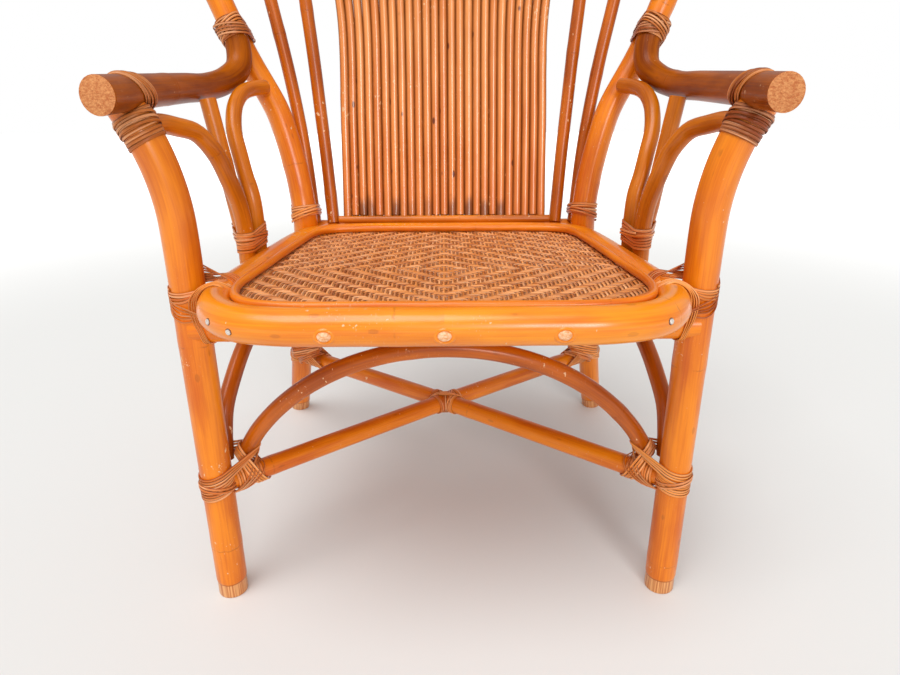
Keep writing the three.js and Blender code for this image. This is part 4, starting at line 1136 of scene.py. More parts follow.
@dataclass
class Arms:
    """Arms that turn up against the uprights, and three braces under each, bound on the side rail."""

    reach: float = 0.082
    front_spread: float = 0.319
    post_spread: float = 0.327
    widest_spread: float = 0.3345
    widest_back: float = 0.185
    inset: float = 0.006
    lower_share: float = 0.64
    side_share: float = 0.8
    middle_top: tuple[float, float] = (0.312, 0.204)
    middle_top_share: float = 0.38
    ring_steps: int = 720
    front_brace_end_back: float = 0.012
    hook_end_drop: float = 0.003
    hook_inset: float = 0.009
    end_turns: dict[Hand, float] = field(default_factory=lambda: {Hand.LEFT: 15.0, Hand.RIGHT: 7.0})
    turn_shares: tuple[tuple[float, float, float], ...] = (
        (0.7, 0.48, 0),
        (2.6, 0.76, 0.09),
        (4.6, 0.915, 0.28),
    )
    front_outs: tuple[float, ...] = (0, 0, -0.07, -0.07, 0, 0.13, 0.22, 0.38, 0.56, 0.65, 0.68)
    front_backs: tuple[float, ...] = (0, 0, 0.085, 0.163, 0.262, 0.322, 0.377, 0.445, 0.634, 0.817, 1)
    front_rises: tuple[float, ...] = (0, 0.174, 0.333, 0.462, 0.587, 0.705, 0.761, 0.818, 0.852, 0.872, 0.878)
    hook_outs: tuple[float, ...] = (0, 0, 0.033, 0.164, 0.28, 0.397, 0.448, 0.462, 0.419, 0.31)
    hook_backs: tuple[float, ...] = (0, 0.01, 0.033, 0.092, 0.158, 0.25, 0.349, 0.467, 0.651, 0.829)
    hook_rises: tuple[float, ...] = (0, 0.18, 0.444, 0.556, 0.669, 0.763, 0.838, 0.902, 0.959, 0.981)

    def arm_points(self, bench: Bench) -> list[Vector]:
        """The centre line of the right-hand arm, from its front end to its top."""
        upright = "rear_leg_and_upright_right"
        post, _ = bench.spot(upright, bench.arm_height + bench.arm_upturn)
        lower, _ = bench.spot(upright, bench.arm_height + bench.arm_upturn * self.lower_share)
        forward = ((bench.upright + bench.arm) / 2 + GAP * 2) * bench.lean
        turn_back = lower.y - forward
        height = bench.arm_height
        side = lerp(self.post_spread, self.widest_spread, self.side_share)
        points = [
            Vector((self.front_spread, -self.reach, height)),
            Vector((self.post_spread, 0, height)),
            Vector((side, self.widest_back / 2, height)),
            Vector((self.widest_spread, self.widest_back, height)),
        ]
        for inset, share, rise in self.turn_shares:
            back = lerp(self.widest_back, turn_back, share)
            level = height + bench.arm_upturn * rise
            points.append(Vector((self.widest_spread - self.inset * inset, back, level)))
        points.append(Vector((lower.x - self.inset, turn_back, lower.z)))
        points.append(Vector((post.x - self.inset, post.y - forward, post.z)))
        return points

    def brace_foot(self, bench: Bench, order: int) -> Vector:
        """Where a brace of the right-hand bundle stands on the side rail."""
        back = bench.bundle_back + order * (bench.brace + GAP)
        ring = bench.poles["seat_ring"].line
        half = [ring.at(i / self.ring_steps) for i in range(self.ring_steps // 2)]
        out = min(half, key=lambda p: abs(p.y - back)).x + (bench.ring + bench.brace) / 2 + GAP
        rail = bench.poles["side_rail_right"].line
        return Vector((out, back, lerp(rail.at(0).z, rail.at(1).z, back / rail.at(1).y)))

    def brace_points(self, bench: Bench, foot: Vector, end_back: float, *shares: tuple) -> list[Vector]:
        """A brace's centre line from its outline shares: outward, backward and upward."""
        points = []
        for out, back, rise in zip(*shares):
            spread, level = lerp(foot.x, self.widest_spread, out), lerp(foot.z, bench.arm_height, rise)
            points.append(Vector((spread, lerp(foot.y, end_back, back), level)))
        return points

    def lay_out(self, bench: Bench) -> None:
        """Lays the arms and the braces on the bench."""
        arm = self.arm_points(bench)
        shares = (self.front_outs, self.front_backs, self.front_rises)
        front = self.brace_points(bench, self.brace_foot(bench, -1), self.front_brace_end_back, *shares)
        nailed, _ = bench.spot("rear_leg_and_upright_right", bench.arm_height - self.hook_end_drop)
        out_of_upright = ((bench.upright + bench.brace) / 2 + GAP) * bench.lean
        hook_end = Vector((nailed.x - self.hook_inset, nailed.y - out_of_upright, nailed.z))
        shares = (self.hook_outs, self.hook_backs, self.hook_rises)
        hook = self.brace_points(bench, self.brace_foot(bench, 1), hook_end.y, *shares)
        middle_top = Vector((*self.middle_top, bench.arm_height - bench.arm * self.middle_top_share))
        middle = [self.brace_foot(bench, 0), middle_top]
        braces = (
            ("front", front, PoleEnd.COPED),
            ("middle", middle, PoleEnd.COPED),
            ("rear", [*hook, hook_end], PoleEnd.SAWN),
        )
        for hand in Hand:
            ends = {"start": PoleEnd.SAWN, "end": PoleEnd.SAWN}
            line = CentreLine(hand.mirrored(arm))
            beyond = line.at(0) - line.along(0) * bench.arm
            turn = math.radians(self.end_turns[hand])
            faced = Vector((hand.value * math.sin(turn), -math.cos(turn), 0))
            longer = CentreLine([beyond, *hand.mirrored(arm)])
            bench.lay(f"arm_{hand.word}", longer, bench.arm, trim=(line.at(0), faced), **ends)
            for place, points, end in braces:
                line = CentreLine(hand.mirrored(points))
                bench.lay(f"arm_brace_{place}_{hand.word}", line, bench.brace, sides=22, end=end)

    def dress(self, bench: Bench) -> None:
        """Makes the pieces of the arms and the braces."""
        for hand in Hand:
            bench.dress(f"arm_{hand.word}", ARM_LACQUER, Slot.ARM)
            for place in ("front", "middle", "rear"):
                bench.dress(f"arm_brace_{place}_{hand.word}", BRACE_LACQUER)


# SEAT


@dataclass
class SeatFrame:
    """The seat's ring, bent of one pole, the rails round it, the bars under it and its fastenings."""

    side_rail_front: float = 0.390
    side_rail_rear: float = 0.378
    bar: float = 0.020
    weave_thickness: float = 0.006
    plug_length: float = 0.009
    plug_wide: float = 1.3
    plug_outline: tuple[tuple[float, float, int], ...] = (
        (0.0055, -0.0088, 1), (0.0058, -0.0040, 1), (0.0098, -0.0034, 1), (0.0094, -0.0018, 1),
        (0.0082, -0.0002, 1), (0.0068, 0.0006, 1), (0.0060, 0.0002, 1), (0.0055, -0.0003, 1),
        (0.0051, 0.0008, 0), (0.0040, 0.0018, 0), (0.0026, 0.0023, 0), (0.0010, 0.0025, 0),
        (0.0, 0.00255, 0),
    )
    screw_outline: tuple[tuple[float, float, int], ...] = (
        (0.0040, -0.0016, 1), (0.0038, -0.0002, 1), (0.0035, 0.0003, 1), (0.0030, 0.0003, 1),
        (0.0029, 0.0010, 2), (0.0020, 0.0016, 2), (0.0, 0.0019, 2),
    )
    screws: tuple[tuple[float, float], ...] = ((0.866, 8.0), (0.880, -6.0), (0.1267, 10.0))
    ring_steps: int = 1600
    moved_steps: int = 48
    plug_spacing: float = 0.118
    plug_drop: float = 0.003
    bar_shares: tuple[float, ...] = (0.36, 0.68)
    out_shares: tuple[float, ...] = (
        0, 0.35, 0.655, 0.84, 0.953, 0.995, 1, 0.96, 0.925, 0.89, 0.853, 0.772, 0.59,
    )
    back_shares: tuple[float, ...] = (
        0, 0.001, 0.0065, 0.037, 0.107, 0.1935, 0.248, 0.474, 0.663, 0.817, 0.907, 0.964, 0.993,
    )

    def plan(self, bench: Bench, inward: float = 0.0, upward: float = 0.0) -> CentreLine:
        """The ring's centre line, moved inward and upward for what lies inside it."""
        half = []
        for out, deep in zip(self.out_shares, self.back_shares):
            back = bench.seat_depth * deep - bench.ring_reach
            half.append(Vector((bench.ring_spread * out, back, bench.seat_level(back))))
        half.append(Vector((0, bench.ring_rear_back, bench.ring_rear_level)))
        plan = CentreLine(half + Hand.LEFT.mirrored(half[1:-1])[::-1], closed=True)
        if not inward:
            return plan
        moved = []
        for i in range(self.moved_steps):
            place, along = plan.at(i / self.moved_steps), plan.along(i / self.moved_steps)
            back = place.y + along.x * inward
            moved.append(Vector((place.x - along.y * inward, back, bench.seat_level(back) + upward)))
        return CentreLine(moved, closed=True)

    def lay_out(self, bench: Bench) -> None:
        """Lays the ring, the rails and the bars on the bench."""
        bench.lay("seat_ring", self.plan(bench), bench.ring, sides=32, swell=0.0002)
        spread, level = bench.leg_spread, bench.front_rail_level
        bench.lay("front_rail", level_line(spread, bench.front_rail_back, level), bench.front_rail)
        seat, _ = bench.spot("rear_leg_and_upright_right", bench.rear_rail_level)
        reach = seat.x + bench.upright * 0.2
        bench.lay("rear_rail", level_line(reach, bench.rear_rail_back, seat.z), bench.rail)
        rear, _ = bench.spot("rear_leg_and_upright_right", self.side_rail_rear)
        for hand in Hand:
            ends = hand.mirrored([Vector((spread, 0, self.side_rail_front)), rear])
            bench.lay(f"side_rail_{hand.word}", CentreLine(ends), bench.rail)
        drop = bench.weave_drop + self.weave_thickness + GAP + (self.bar - bench.ring) / 2
        for name, share in zip(("seat_bar_front", "seat_bar_rear"), self.bar_shares):
            back = bench.seat_depth * share - bench.ring_reach
            line = level_line(bench.ring_spread, back, bench.seat_level(back) - drop)
            bench.lay(name, line, self.bar, sides=20)

    def dress(self, bench: Bench) -> None:
        """Makes the pieces of the seat's frame."""
        ring = bench.poles["seat_ring"].line
        bm = bmesh.new()
        bench.poles["seat_ring"].drawn(bm)
        for vert in bm.verts:
            vert.tag = True
        for share, tilt in self.screws:
            along, turn = ring.along(share), math.radians(tilt)
            outward = Vector((along.y, -along.x, 0)).normalized() * math.cos(turn) + UP * math.sin(turn)
            self.stud(bm, ring.at(share) + outward * bench.ring / 2, outward, self.screw_outline)
        # The ring round each screw head takes the dark finish, as painted shade in its recess.
        finishes = (RING_LACQUER, SCREW_RING_SHADE, STEEL)
        piece(bm, "seat_ring_pole", ["seat_ring"], Slot.POLE, *(f.material() for f in finishes), crisp=40)
        for name in ("front_rail", "rear_rail", "side_rail_left", "side_rail_right"):
            bench.dress(name, POLE_LACQUER)
        for name in ("seat_bar_front", "seat_bar_rear"):
            bench.dress(name, THIN_LACQUER)
        names = ("ring_plug_left", "ring_plug_middle", "ring_plug_right")
        for name, order in zip(names, (-1, 0, 1)):
            self.dress_plug(name, ring, order * self.plug_spacing, bench.ring / 2)

    def dress_plug(self, name: str, ring: CentreLine, out: float, reach: float) -> None:
        """Makes one oval wood plug with a domed face, in the front of the ring.

        Args:
            name: the CAD node's name.
            ring: the ring's centre line.
            out: how far from the middle it is.
            reach: from the ring's centre line to its skin.
        """
        shares = [i / self.ring_steps for i in range(self.ring_steps)]
        front = [share for share in shares if ring.at(share).y < 0]
        share = min(front, key=lambda s: abs(ring.at(s).x - out))
        along = ring.along(share)
        outward = Vector((along.y, -along.x, 0)).normalized()
        seat = ring.at(share) - UP * self.plug_drop + outward * (reach - self.plug_length)
        bm = bmesh.new()
        self.stud(bm, seat + outward * self.plug_length, outward, self.plug_outline, self.plug_wide)
        # The plug's face is pale wood with painted highlight.
        piece(bm, f"{name}_peg", [name], Slot.PLUG, PLUG_WOOD_AND_SHEEN.material(), RING_LACQUER.material(), crisp=50)

    def stud(
        self, bm: bmesh.types.BMesh, seat: Vector, outward: Vector, outline: tuple, wide: float = 1.0
    ) -> None:
        """Turns the head of a plug or screw with its surround, and sets it on the skin of a pole.

        Args:
            bm: the mesh that it is added to.
            seat: the place on the skin.
            outward: the way that it faces.
            outline: radius, height and material number from the rim to the middle.
            wide: how much wider than high it is.
        """
        profile = [bm.verts.new((radius, 0, height)) for radius, height, _ in outline]
        edges = [bm.edges.new(pair) for pair in zip(profile, profile[1:])]
        once = {"steps": 24, "use_merge": True, "use_duplicate": False}
        bmesh.ops.spin(bm, geom=profile + edges, cent=(0, 0, 0), axis=UP, angle=math.tau, **once)
        bmesh.ops.remove_doubles(bm, verts=[v for v in bm.verts if not v.tag], dist=1e-7)
        own = {v for v in bm.verts if not v.tag}
        rim = [e for e in bm.edges if e.is_boundary and e.verts[0] in own]
        bmesh.ops.edgeloop_fill(bm, edges=rim, mat_nr=1)
        for face in {f for v in own for f in v.link_faces}:
            out = face.calc_center_median().xy.length
            nearest = min(outline, key=lambda mark: abs(mark[0] - out))
            face.material_index = nearest[2]
            face.smooth = True
        turn = UP.rotation_difference(outward).to_matrix().to_4x4()
        across = (turn.inverted() @ UP.cross(outward)).normalized()
        stretch = Matrix.Scale(wide, 4, across)
        bmesh.ops.transform(bm, matrix=Matrix.Translation(seat) @ turn @ stretch, verts=list(own))
        for vert in own:
            vert.tag = True
        bmesh.ops.recalc_face_normals(bm, faces=bm.faces)


@dataclass
class WovenSeat:
    """The seat, woven of flat cane in a diamond twill, and the reed round its edge."""

    pitch: float = 0.0055
    widths: tuple[float, float] = (0.0044, 0.0054)
    thickness: float = 0.0013
    wave: float = 0.0012
    sag: float = 0.002
    bead: float = 0.010
    tuck: float = 0.004
    middle_back: float = 0.093
    float_over: int = 3
    most_strands: int = 160
    edge_steps: int = 720
    sag_half_depth: float = 0.23
    wobble: float = 0.00025
    outline: tuple[tuple[float, float], ...] = ((-1, 0), (-0.8, -1), (0.8, -1), (1, 0), (0.6, 1), (-0.6, 1))

    def over(self, across: int, deep: int) -> bool:
        """Whether the strand that runs front to back lies on top at a crossing."""
        return (abs(across) + abs(deep)) % (self.float_over * 2) < self.float_over

    def edge(self, bench: Bench, frame_part: SeatFrame) -> list[Vector]:
        """The outline under the bead to which the strands run."""
        plan = frame_part.plan(bench, bench.ring / 2 - self.tuck, 0.0001)
        return [plan.at(i / self.edge_steps) for i in range(self.edge_steps)]

    def reach(self, outline: list[Vector], axis: int, value: float) -> Optional[tuple[float, float]]:
        """Where a line at one value of a coordinate enters and leaves the outline."""
        other = 1 - axis
        crossings = []
        for before, after in zip(outline, outline[1:] + outline[:1]):
            low, high = before[axis] - value, after[axis] - value
            if (low < 0) != (high < 0):
                crossings.append(lerp(before[other], after[other], low / (low - high)))
        return (min(crossings), max(crossings)) if len(crossings) >= 2 else None

    def dress(self, bench: Bench, frame_part: SeatFrame) -> None:
        """Makes the two sets of strands and the bead."""
        outline = self.edge(bench, frame_part)
        half_x = max(p.x for p in outline)
        centre_y = (min(p.y for p in outline) + max(p.y for p in outline)) / 2
        for name, axis in (("seat_weave_front_to_back", 0), ("seat_weave_side_to_side", 1)):
            bm = bmesh.new()
            origin = 0.0 if axis == 0 else self.middle_back
            number = 0
            for i in range(-self.most_strands, self.most_strands + 1):
                value = origin + i * self.pitch
                ends = self.reach(outline, axis, value)
                if ends is None or ends[1] - ends[0] < self.pitch * 3:
                    continue
                self.lay_strand(bm, bench, axis, i, value, ends, number, (half_x, centre_y))
                number += 1
            piece(bm, name, ["seat_weave"], Slot.WEAVE, WOVEN_CANE.material())
        upward = (bench.ring + self.bead) / 2 - bench.weave_drop + GAP
        reach = (bench.ring + self.bead) / 2 + GAP * 3
        line = frame_part.plan(bench, math.sqrt(reach**2 - upward**2), upward)
        bench.lay("seat_edge_bead", line, self.bead, sides=16, joint_spacing=0.19, swell=0.0004)
        bench.dress("seat_edge_bead", POLE_LACQUER, Slot.REED, "reed")

    def lay_strand(
        self,
        bm: bmesh.types.BMesh,
        bench: Bench,
        axis: int,
        i: int,
        value: float,
        ends: tuple[float, float],
        number: int,
        seat: tuple[float, float],
    ) -> None:
        """Lays one strand of the weave.

        Args:
            bm: the mesh of its set.
            bench: the shared sizes.
            axis: 0 for a strand that runs front to back, 1 for one that runs side to side.
            i: its number from the middle of the pattern.
            value: its place across its own direction.
            ends: where it starts and ends.
            number: its number in the mesh.
            seat: the seat's half width and its middle depth.
        """
        origin = self.middle_back if axis == 0 else 0.0
        half = self.pitch / 2
        first = math.ceil((ends[0] - origin) / half)
        last = math.floor((ends[1] - origin) / half)
        rows = []
        for k in range(first, last + 1):
            position = origin + k * half
            place = Vector((value, position, 0)) if axis == 0 else Vector((position, value, 0))
            lifts = []
            for j in {math.floor(k / 2), math.ceil(k / 2)}:
                on_top = self.over(i, j) if axis == 0 else not self.over(j, i)
                lifts.append(1 if on_top else -1)
            lift = sum(lifts) / len(lifts)
            dip = 1 - (place.x / seat[0]) ** 2
            dip *= 1 - ((place.y - seat[1]) / self.sag_half_depth) ** 2
            drop = bench.weave_drop + self.thickness + self.wave
            level = bench.seat_level(place.y) + bench.ring / 2 - drop
            place.z = level + self.wave * lift - self.sag * max(dip, 0)
            rows.append(place)
        across = ACROSS if axis == 0 else BACKWARD
        wobble = self.wobble * noise.noise(Vector((i * 5.1, axis * 9.0, 0)))
        top, side = self.thickness / 2, self.widths[axis] / 2
        section = tuple((side * x, top * z) for x, z in self.outline)
        if axis == 0:
            section = tuple((-x, z) for x, z in section)
        rings = [[p + across * (x + wobble) + UP * z for x, z in section] for p in rows]
        along = [k * half for k in range(len(rings))]
        if axis == 0:
            rings = [ring[::-1] for ring in rings]
        verts = [v for v in skin(bm, rings, along, number) if v.is_valid]
        own = set(verts)
        rim = {e for v in verts for e in v.link_edges if e.is_boundary and e.other_vert(v) in own}
        bmesh.ops.edgeloop_fill(bm, edges=list(rim))


# UNDER THE SEAT


@dataclass
class UnderFrame:
    """Two stretchers that cross, and the arches between the legs."""

    arch_steps: int = 12
    cross_level: float = 0.163
    foot_inward: float = 0.0255
    foot_back: float = 0.037
    foot_share: float = 0.34
    seated_share: float = 0.86
    side_foot_level: float = 0.190
    side_foot_inward: float = 0.003
    run_shares: tuple[float, ...] = (0, 0.03, 0.09, 0.245, 0.417, 0.6, 0.78, 1)
    rise_shares: tuple[float, ...] = (0, 0.21, 0.405, 0.589, 0.738, 0.845, 0.935, 1)

    def arch(self, foot: Vector, top: Vector) -> CentreLine:
        """An arch between two feet, as the top part of an ellipse in a leaning plane."""
        sweep = math.pi * self.foot_share
        half_width = foot.x / math.sin(sweep)
        rise = (top.z - foot.z) / (1 - math.cos(sweep))
        points = []
        for i in range(self.arch_steps + 1):
            angle = lerp(-sweep, sweep, i / self.arch_steps)
            down = (1 - math.cos(angle)) * rise
            back = lerp(top.y, foot.y, down / (top.z - foot.z))
            points.append(Vector((half_width * math.sin(angle), back, top.z - down)))
        return CentreLine(points)

    def side_arch(self, bench: Bench) -> list[Vector]:
        """The right-hand side arch, from the front leg to the rear leg."""
        front = (bench.leg + bench.arch) / 2 + GAP * 2
        foot, _ = bench.spot("rear_leg_and_upright_right", self.side_foot_level)
        low, _ = bench.spot("rear_leg_and_upright_right", 0.0)
        waist, _ = bench.spot("rear_leg_and_upright_right", bench.waist_height)
        lean = math.hypot(1, (low.y - waist.y) / bench.waist_height)
        rear = foot.y - ((bench.upright + bench.arch) / 2 + GAP * 2) * lean
        middle = (front + rear) / 2
        rail = bench.poles["side_rail_right"].line
        above = lerp(rail.at(0), rail.at(1), middle / rail.at(1).y)
        top = above.z - (bench.rail + bench.arch) / 2 - GAP * 2
        points = []
        shares = list(zip(self.run_shares, self.rise_shares))
        for run, rise in shares:
            out = lerp(bench.leg_spread - self.side_foot_inward, above.x, run)
            back = front + (middle - front) * run
            points.append(Vector((out, back, lerp(self.side_foot_level, top, rise))))
        for run, rise in shares[-2::-1]:
            back = rear - (middle - front) * run
            points.append(Vector((lerp(foot.x, above.x, run), back, lerp(self.side_foot_level, top, rise))))
        return points

    def lay_out(self, bench: Bench) -> None:
        """Lays the stretchers and the arches on the bench."""
        seat, _ = bench.spot("rear_leg_and_upright_right", bench.stretcher_rear_level)
        middle_back = seat.y * bench.leg_spread / (bench.leg_spread + seat.x)
        for hand in Hand:
            points = [
                Vector((hand.value * bench.leg_spread, 0, bench.stretcher_front_level)),
                Vector((0, middle_back, self.cross_level)),
                Vector((-hand.value * seat.x, seat.y, bench.stretcher_rear_level)),
            ]
            bench.lay(f"stretcher_front_{hand.word}", CentreLine(points), bench.stretcher, sides=24)
        on_stretcher = (bench.stretcher + bench.arch) / 2 * self.seated_share
        level = bench.stretcher_front_level + on_stretcher
        foot = Vector((bench.leg_spread - self.foot_inward, self.foot_back, level))
        top = bench.front_rail_level - (bench.front_rail + bench.arch) / 2 - GAP
        crown = Vector((0, bench.front_rail_back, top))
        bench.lay("front_arch", self.arch(foot, crown), bench.arch, sides=22)
        seat, _ = bench.spot("rear_leg_and_upright_right", bench.stretcher_rear_level + on_stretcher)
        foot = Vector((seat.x - self.foot_inward, seat.y - self.foot_back, seat.z))
        top = bench.rear_rail_level - (bench.rail + bench.arch) / 2 - GAP
        bench.lay("rear_arch", self.arch(foot, Vector((0, bench.rear_rail_back, top))), bench.arch, sides=22)
        side = self.side_arch(bench)
        for hand in Hand:
            bench.lay(f"side_arch_{hand.word}", CentreLine(hand.mirrored(side)), bench.arch, sides=22)

    def dress(self, bench: Bench) -> None:
        """Makes the pieces of the under frame."""
        for name in ("stretcher_front_left", "stretcher_front_right"):
            bench.dress(name, POLE_LACQUER)
        for name in ("front_arch", "rear_arch", "side_arch_left", "side_arch_right"):
            bench.dress(name, THIN_LACQUER)


# FAN OF THE BACK


@dataclass
class FanBack:
    """The panel of pencil reeds, its base reed and battens, and the spokes beside it."""

    reed: float = 0.0135
    reed_pitch: float = 0.0132
    base_reed: float = 0.012
    batten: float = 0.016
    reeds_per_strip: int = 5
    strips: int = 5
    flare_height: float = 0.735
    flare: float = 0.052
    flare_power: float = 1.1
    end_lap: float = 0.006
    batten_heights: tuple[float, ...] = (0.810, 0.960)
    inner_spoke: tuple[float, float, float] = (0.184, 0.217, 0.256)
    outer_spoke: tuple[float, float, float] = (0.215, 0.2716, 0.340)
    inner_shares: tuple[float, ...] = (0, 0.254, 0.472, 0.693, 1)
    outer_shares: tuple[float, ...] = (0, 0.187, 0.39, 0.643, 1)
    spoke_rises: tuple[float, ...] = (0, 0.3, 0.52, 0.74, 1)
    spoke_foot_drop: float = 0.002
    spoke_middle_share: float = 0.48
    reed_shares: tuple[float, ...] = (0, 0.25, 0.5, 0.72, 0.88, 1)
    reed_foot_drop: float = 0.0004
    reed_waver: float = 0.0003

    def behind(self, bench: Bench, diameter: float) -> float:
        """How far behind the hoop's plane a pole of this diameter passes."""
        return ((bench.upright + diameter) / 2 + GAP) * bench.lean

    def spoke_points(self, bench: Bench, back: BackFrame, spreads: tuple, shares: tuple) -> list[Vector]:
        """A right-hand spoke, from the rear rail to the hoop."""
        foot, fan, top = spreads
        foot_level = bench.rear_rail_level + bench.rail / 2 - self.spoke_foot_drop
        behind = self.behind(bench, bench.spoke)
        points = []
        for share, rise in zip(shares, self.spoke_rises):
            height = lerp(foot_level, back.fan_height, rise)
            points.append(bench.on_back(lerp(foot, fan, share), height, behind))
        top_height = back.hoop_level(bench, top) + self.end_lap
        middle = (back.fan_height + top_height) / 2
        points.append(bench.on_back(lerp(fan, top, self.spoke_middle_share), middle, behind))
        points.append(bench.on_back(top, top_height, behind))
        return points

    def reed_line(self, bench: Bench, back: BackFrame, spread: float, half: float) -> CentreLine:
        """One reed of the panel, straight at the seat and flaring under the hoop."""
        foot = bench.rear_rail_level + bench.rail / 2 - self.reed_foot_drop
        behind = self.behind(bench, self.reed)
        flare_share = spread / half * abs(spread / half)
        middle = (foot + self.flare_height) / 2
        top = back.hoop_level(bench, spread + self.flare * flare_share) + self.end_lap
        points = [bench.on_back(spread, height, behind) for height in (foot, middle)]
        for share in self.reed_shares:
            height = lerp(self.flare_height, top, share)
            out = self.flare * flare_share * share**self.flare_power
            points.append(bench.on_back(spread + out, height, behind))
        return CentreLine(points)

    def lay_out(self, bench: Bench, back: BackFrame) -> None:
        """Lays the spokes, the base reed and the battens on the bench."""
        inner = self.spoke_points(bench, back, self.inner_spoke, self.inner_shares)
        outer = self.spoke_points(bench, back, self.outer_spoke, self.outer_shares)
        for hand in Hand:
            for name, points in (("inner_spoke", inner), ("outer_spoke", outer)):
                line = CentreLine(hand.mirrored(points))
                bench.lay(f"{name}_{hand.word}", line, bench.spoke, sides=22, end=PoleEnd.SAWN)
        reach = (bench.ring + self.base_reed) / 2 + GAP
        before_panel = ((self.reed + self.base_reed) / 2 + GAP) * bench.lean
        behind = self.behind(bench, self.reed)
        deep = bench.back_at(bench.ring_rear_level + reach) + behind - before_panel
        level = bench.ring_rear_level + math.sqrt(reach**2 - (deep - bench.ring_rear_back) ** 2)
        half = self.inner_spoke[0] - bench.spoke / 2 - GAP * 2
        sawn = {"start": PoleEnd.SAWN, "end": PoleEnd.SAWN}
        bench.lay("panel_base_reed", level_line(half, deep, level), self.base_reed, sides=18, **sawn)
        for name, height in zip(("panel_batten_lower", "panel_batten_upper"), self.batten_heights):
            deep = bench.back_at(height) + behind + ((self.reed + self.batten) / 2 + GAP) * bench.lean
            spoke, _ = bench.spot("inner_spoke_right", height)
            bench.lay(name, level_line(spoke.x, deep, height), self.batten, sides=18)

    def dress(self, bench: Bench, back: BackFrame) -> None:
        """Makes the spokes, the battens and the reeds, strip by strip."""
        for hand in Hand:
            for name in ("inner_spoke", "outer_spoke"):
                bench.dress(f"{name}_{hand.word}", THIN_LACQUER)
        for name in ("panel_base_reed", "panel_batten_lower", "panel_batten_upper"):
            bench.dress(name, BRACE_LACQUER, Slot.REED, "reed")
        strip_pitch = self.reed_pitch * (self.reeds_per_strip - 1) + self.reed + GAP
        half = strip_pitch * (self.strips - 1) / 2 + self.reed_pitch * (self.reeds_per_strip - 1) / 2
        for strip in range(self.strips):
            bm = bmesh.new()
            for i in range(self.reeds_per_strip):
                from_middle = strip - (self.strips - 1) / 2
                spread = from_middle * strip_pitch + (i - (self.reeds_per_strip - 1) / 2) * self.reed_pitch
                number = strip * self.reeds_per_strip + i
                slim = self.reed_waver * noise.noise(Vector((number * 2.3, 1.0, 0)))
                if i in (0, self.reeds_per_strip - 1):
                    slim = GAP * 2
                reed = Pole(
                    "reed",
                    self.reed_line(bench, back, spread, half),
                    self.reed + slim,
                    sides=14,
                    step=0.011,
                    number=40 + number,
                    swell=0.0003,
                    joint_spacing=0.23,
                    end=PoleEnd.SAWN,
                    eased=0.0009,
                )
                reed.drawn(bm, number)
            name = f"reed_strip_{strip + 1}"
            finishes = (REED_LACQUER.material(), SAWN_END.material())
            piece(bm, f"{name}_reeds", [name], Slot.REED, *finishes, crisp=40)


# BINDINGS


@dataclass
class Winding:
    """Turns of cane strand drawn tight round the bars that meet at a joint."""

    around: tuple[str, ...]
    at: Vector
    axis: Vector
    turns: float
    pitch: float = 0.0036
    width: float = 0.0034
    layer: int = 0
    start: Vector = field(default_factory=lambda: ACROSS.copy())
    steps: int = 40
    slack: float = 0.0003
    layer_share: float = 0.95
    drift_share: float = 0.3
    rise_share: float = 0.3

    def rows(self, bench: Bench, strand: Strand, seed: int) -> list[StrandRow]:
        """The strand's places, each with the way that it faces and the way across it."""
        axis = self.axis.normalized()
        first = (self.start - axis * self.start.dot(axis)).normalized()
        second = axis.cross(first)
        near = [bench.poles[name].line.share_near(self.at) for name in self.around]
        lift = self.slack + strand.thickness * (0.5 + self.layer * self.layer_share)
        count = round(self.turns * self.steps)
        rows = []
        for i in range(count + 1):
            angle = math.tau * i / self.steps
            drift = self.drift_share * self.pitch * noise.noise(Vector((i / self.steps * 2.7, seed * 4.1, 0)))
            here = self.at + axis * ((i / self.steps - self.turns / 2) * self.pitch + drift)
            facing = first * math.cos(angle) + second * math.sin(angle)
            bars = [bench.bar(name, share, here, axis) for name, share in zip(self.around, near)]
            farthest = max((bar.support(axis, facing) for bar in bars), key=lambda p: p.dot(facing))
            uneven = noise.noise(Vector((i / self.steps * 3.3, seed * 7.7, 5.0)))
            rise = self.rise_share * strand.thickness * uneven
            rows.append((farthest + facing * (lift + rise), facing, axis))
        return rows


@dataclass
class Lashing:
    """Loops laid over a joint between two marked loops, where no single plane serves."""

    first: Marks
    last: Marks
    turns: int
    width: float = 0.0033
    steps: int = 44
    drift_share: float = 0.3

    def rows(self, bench: Bench, strand: Strand, seed: int) -> list[StrandRow]:
        """The strand's places, each with the way that it faces and the way across it."""
        marked = (self.first, self.last)
        loops = [CentreLine([Vector(mark) for mark in marks], closed=True) for marks in marked]
        middle = sum((Vector(mark) for mark in self.first + self.last), Vector())
        middle /= len(self.first) + len(self.last)
        rows = []
        for i in range(self.turns * self.steps + 1):
            turn = i / self.steps
            drift = self.drift_share * noise.noise(Vector((turn * 2.3, seed * 3.1, 2.0)))
            share = (turn + drift) / self.turns
            place = lerp(loops[0].at(turn % 1.0), loops[1].at(turn % 1.0), share)
            along = lerp(loops[0].along(turn % 1.0), loops[1].along(turn % 1.0), share).normalized()
            away = place - middle
            facing = (away - along * away.dot(along)).normalized()
            rows.append((place, facing, facing.cross(along)))
        return rows


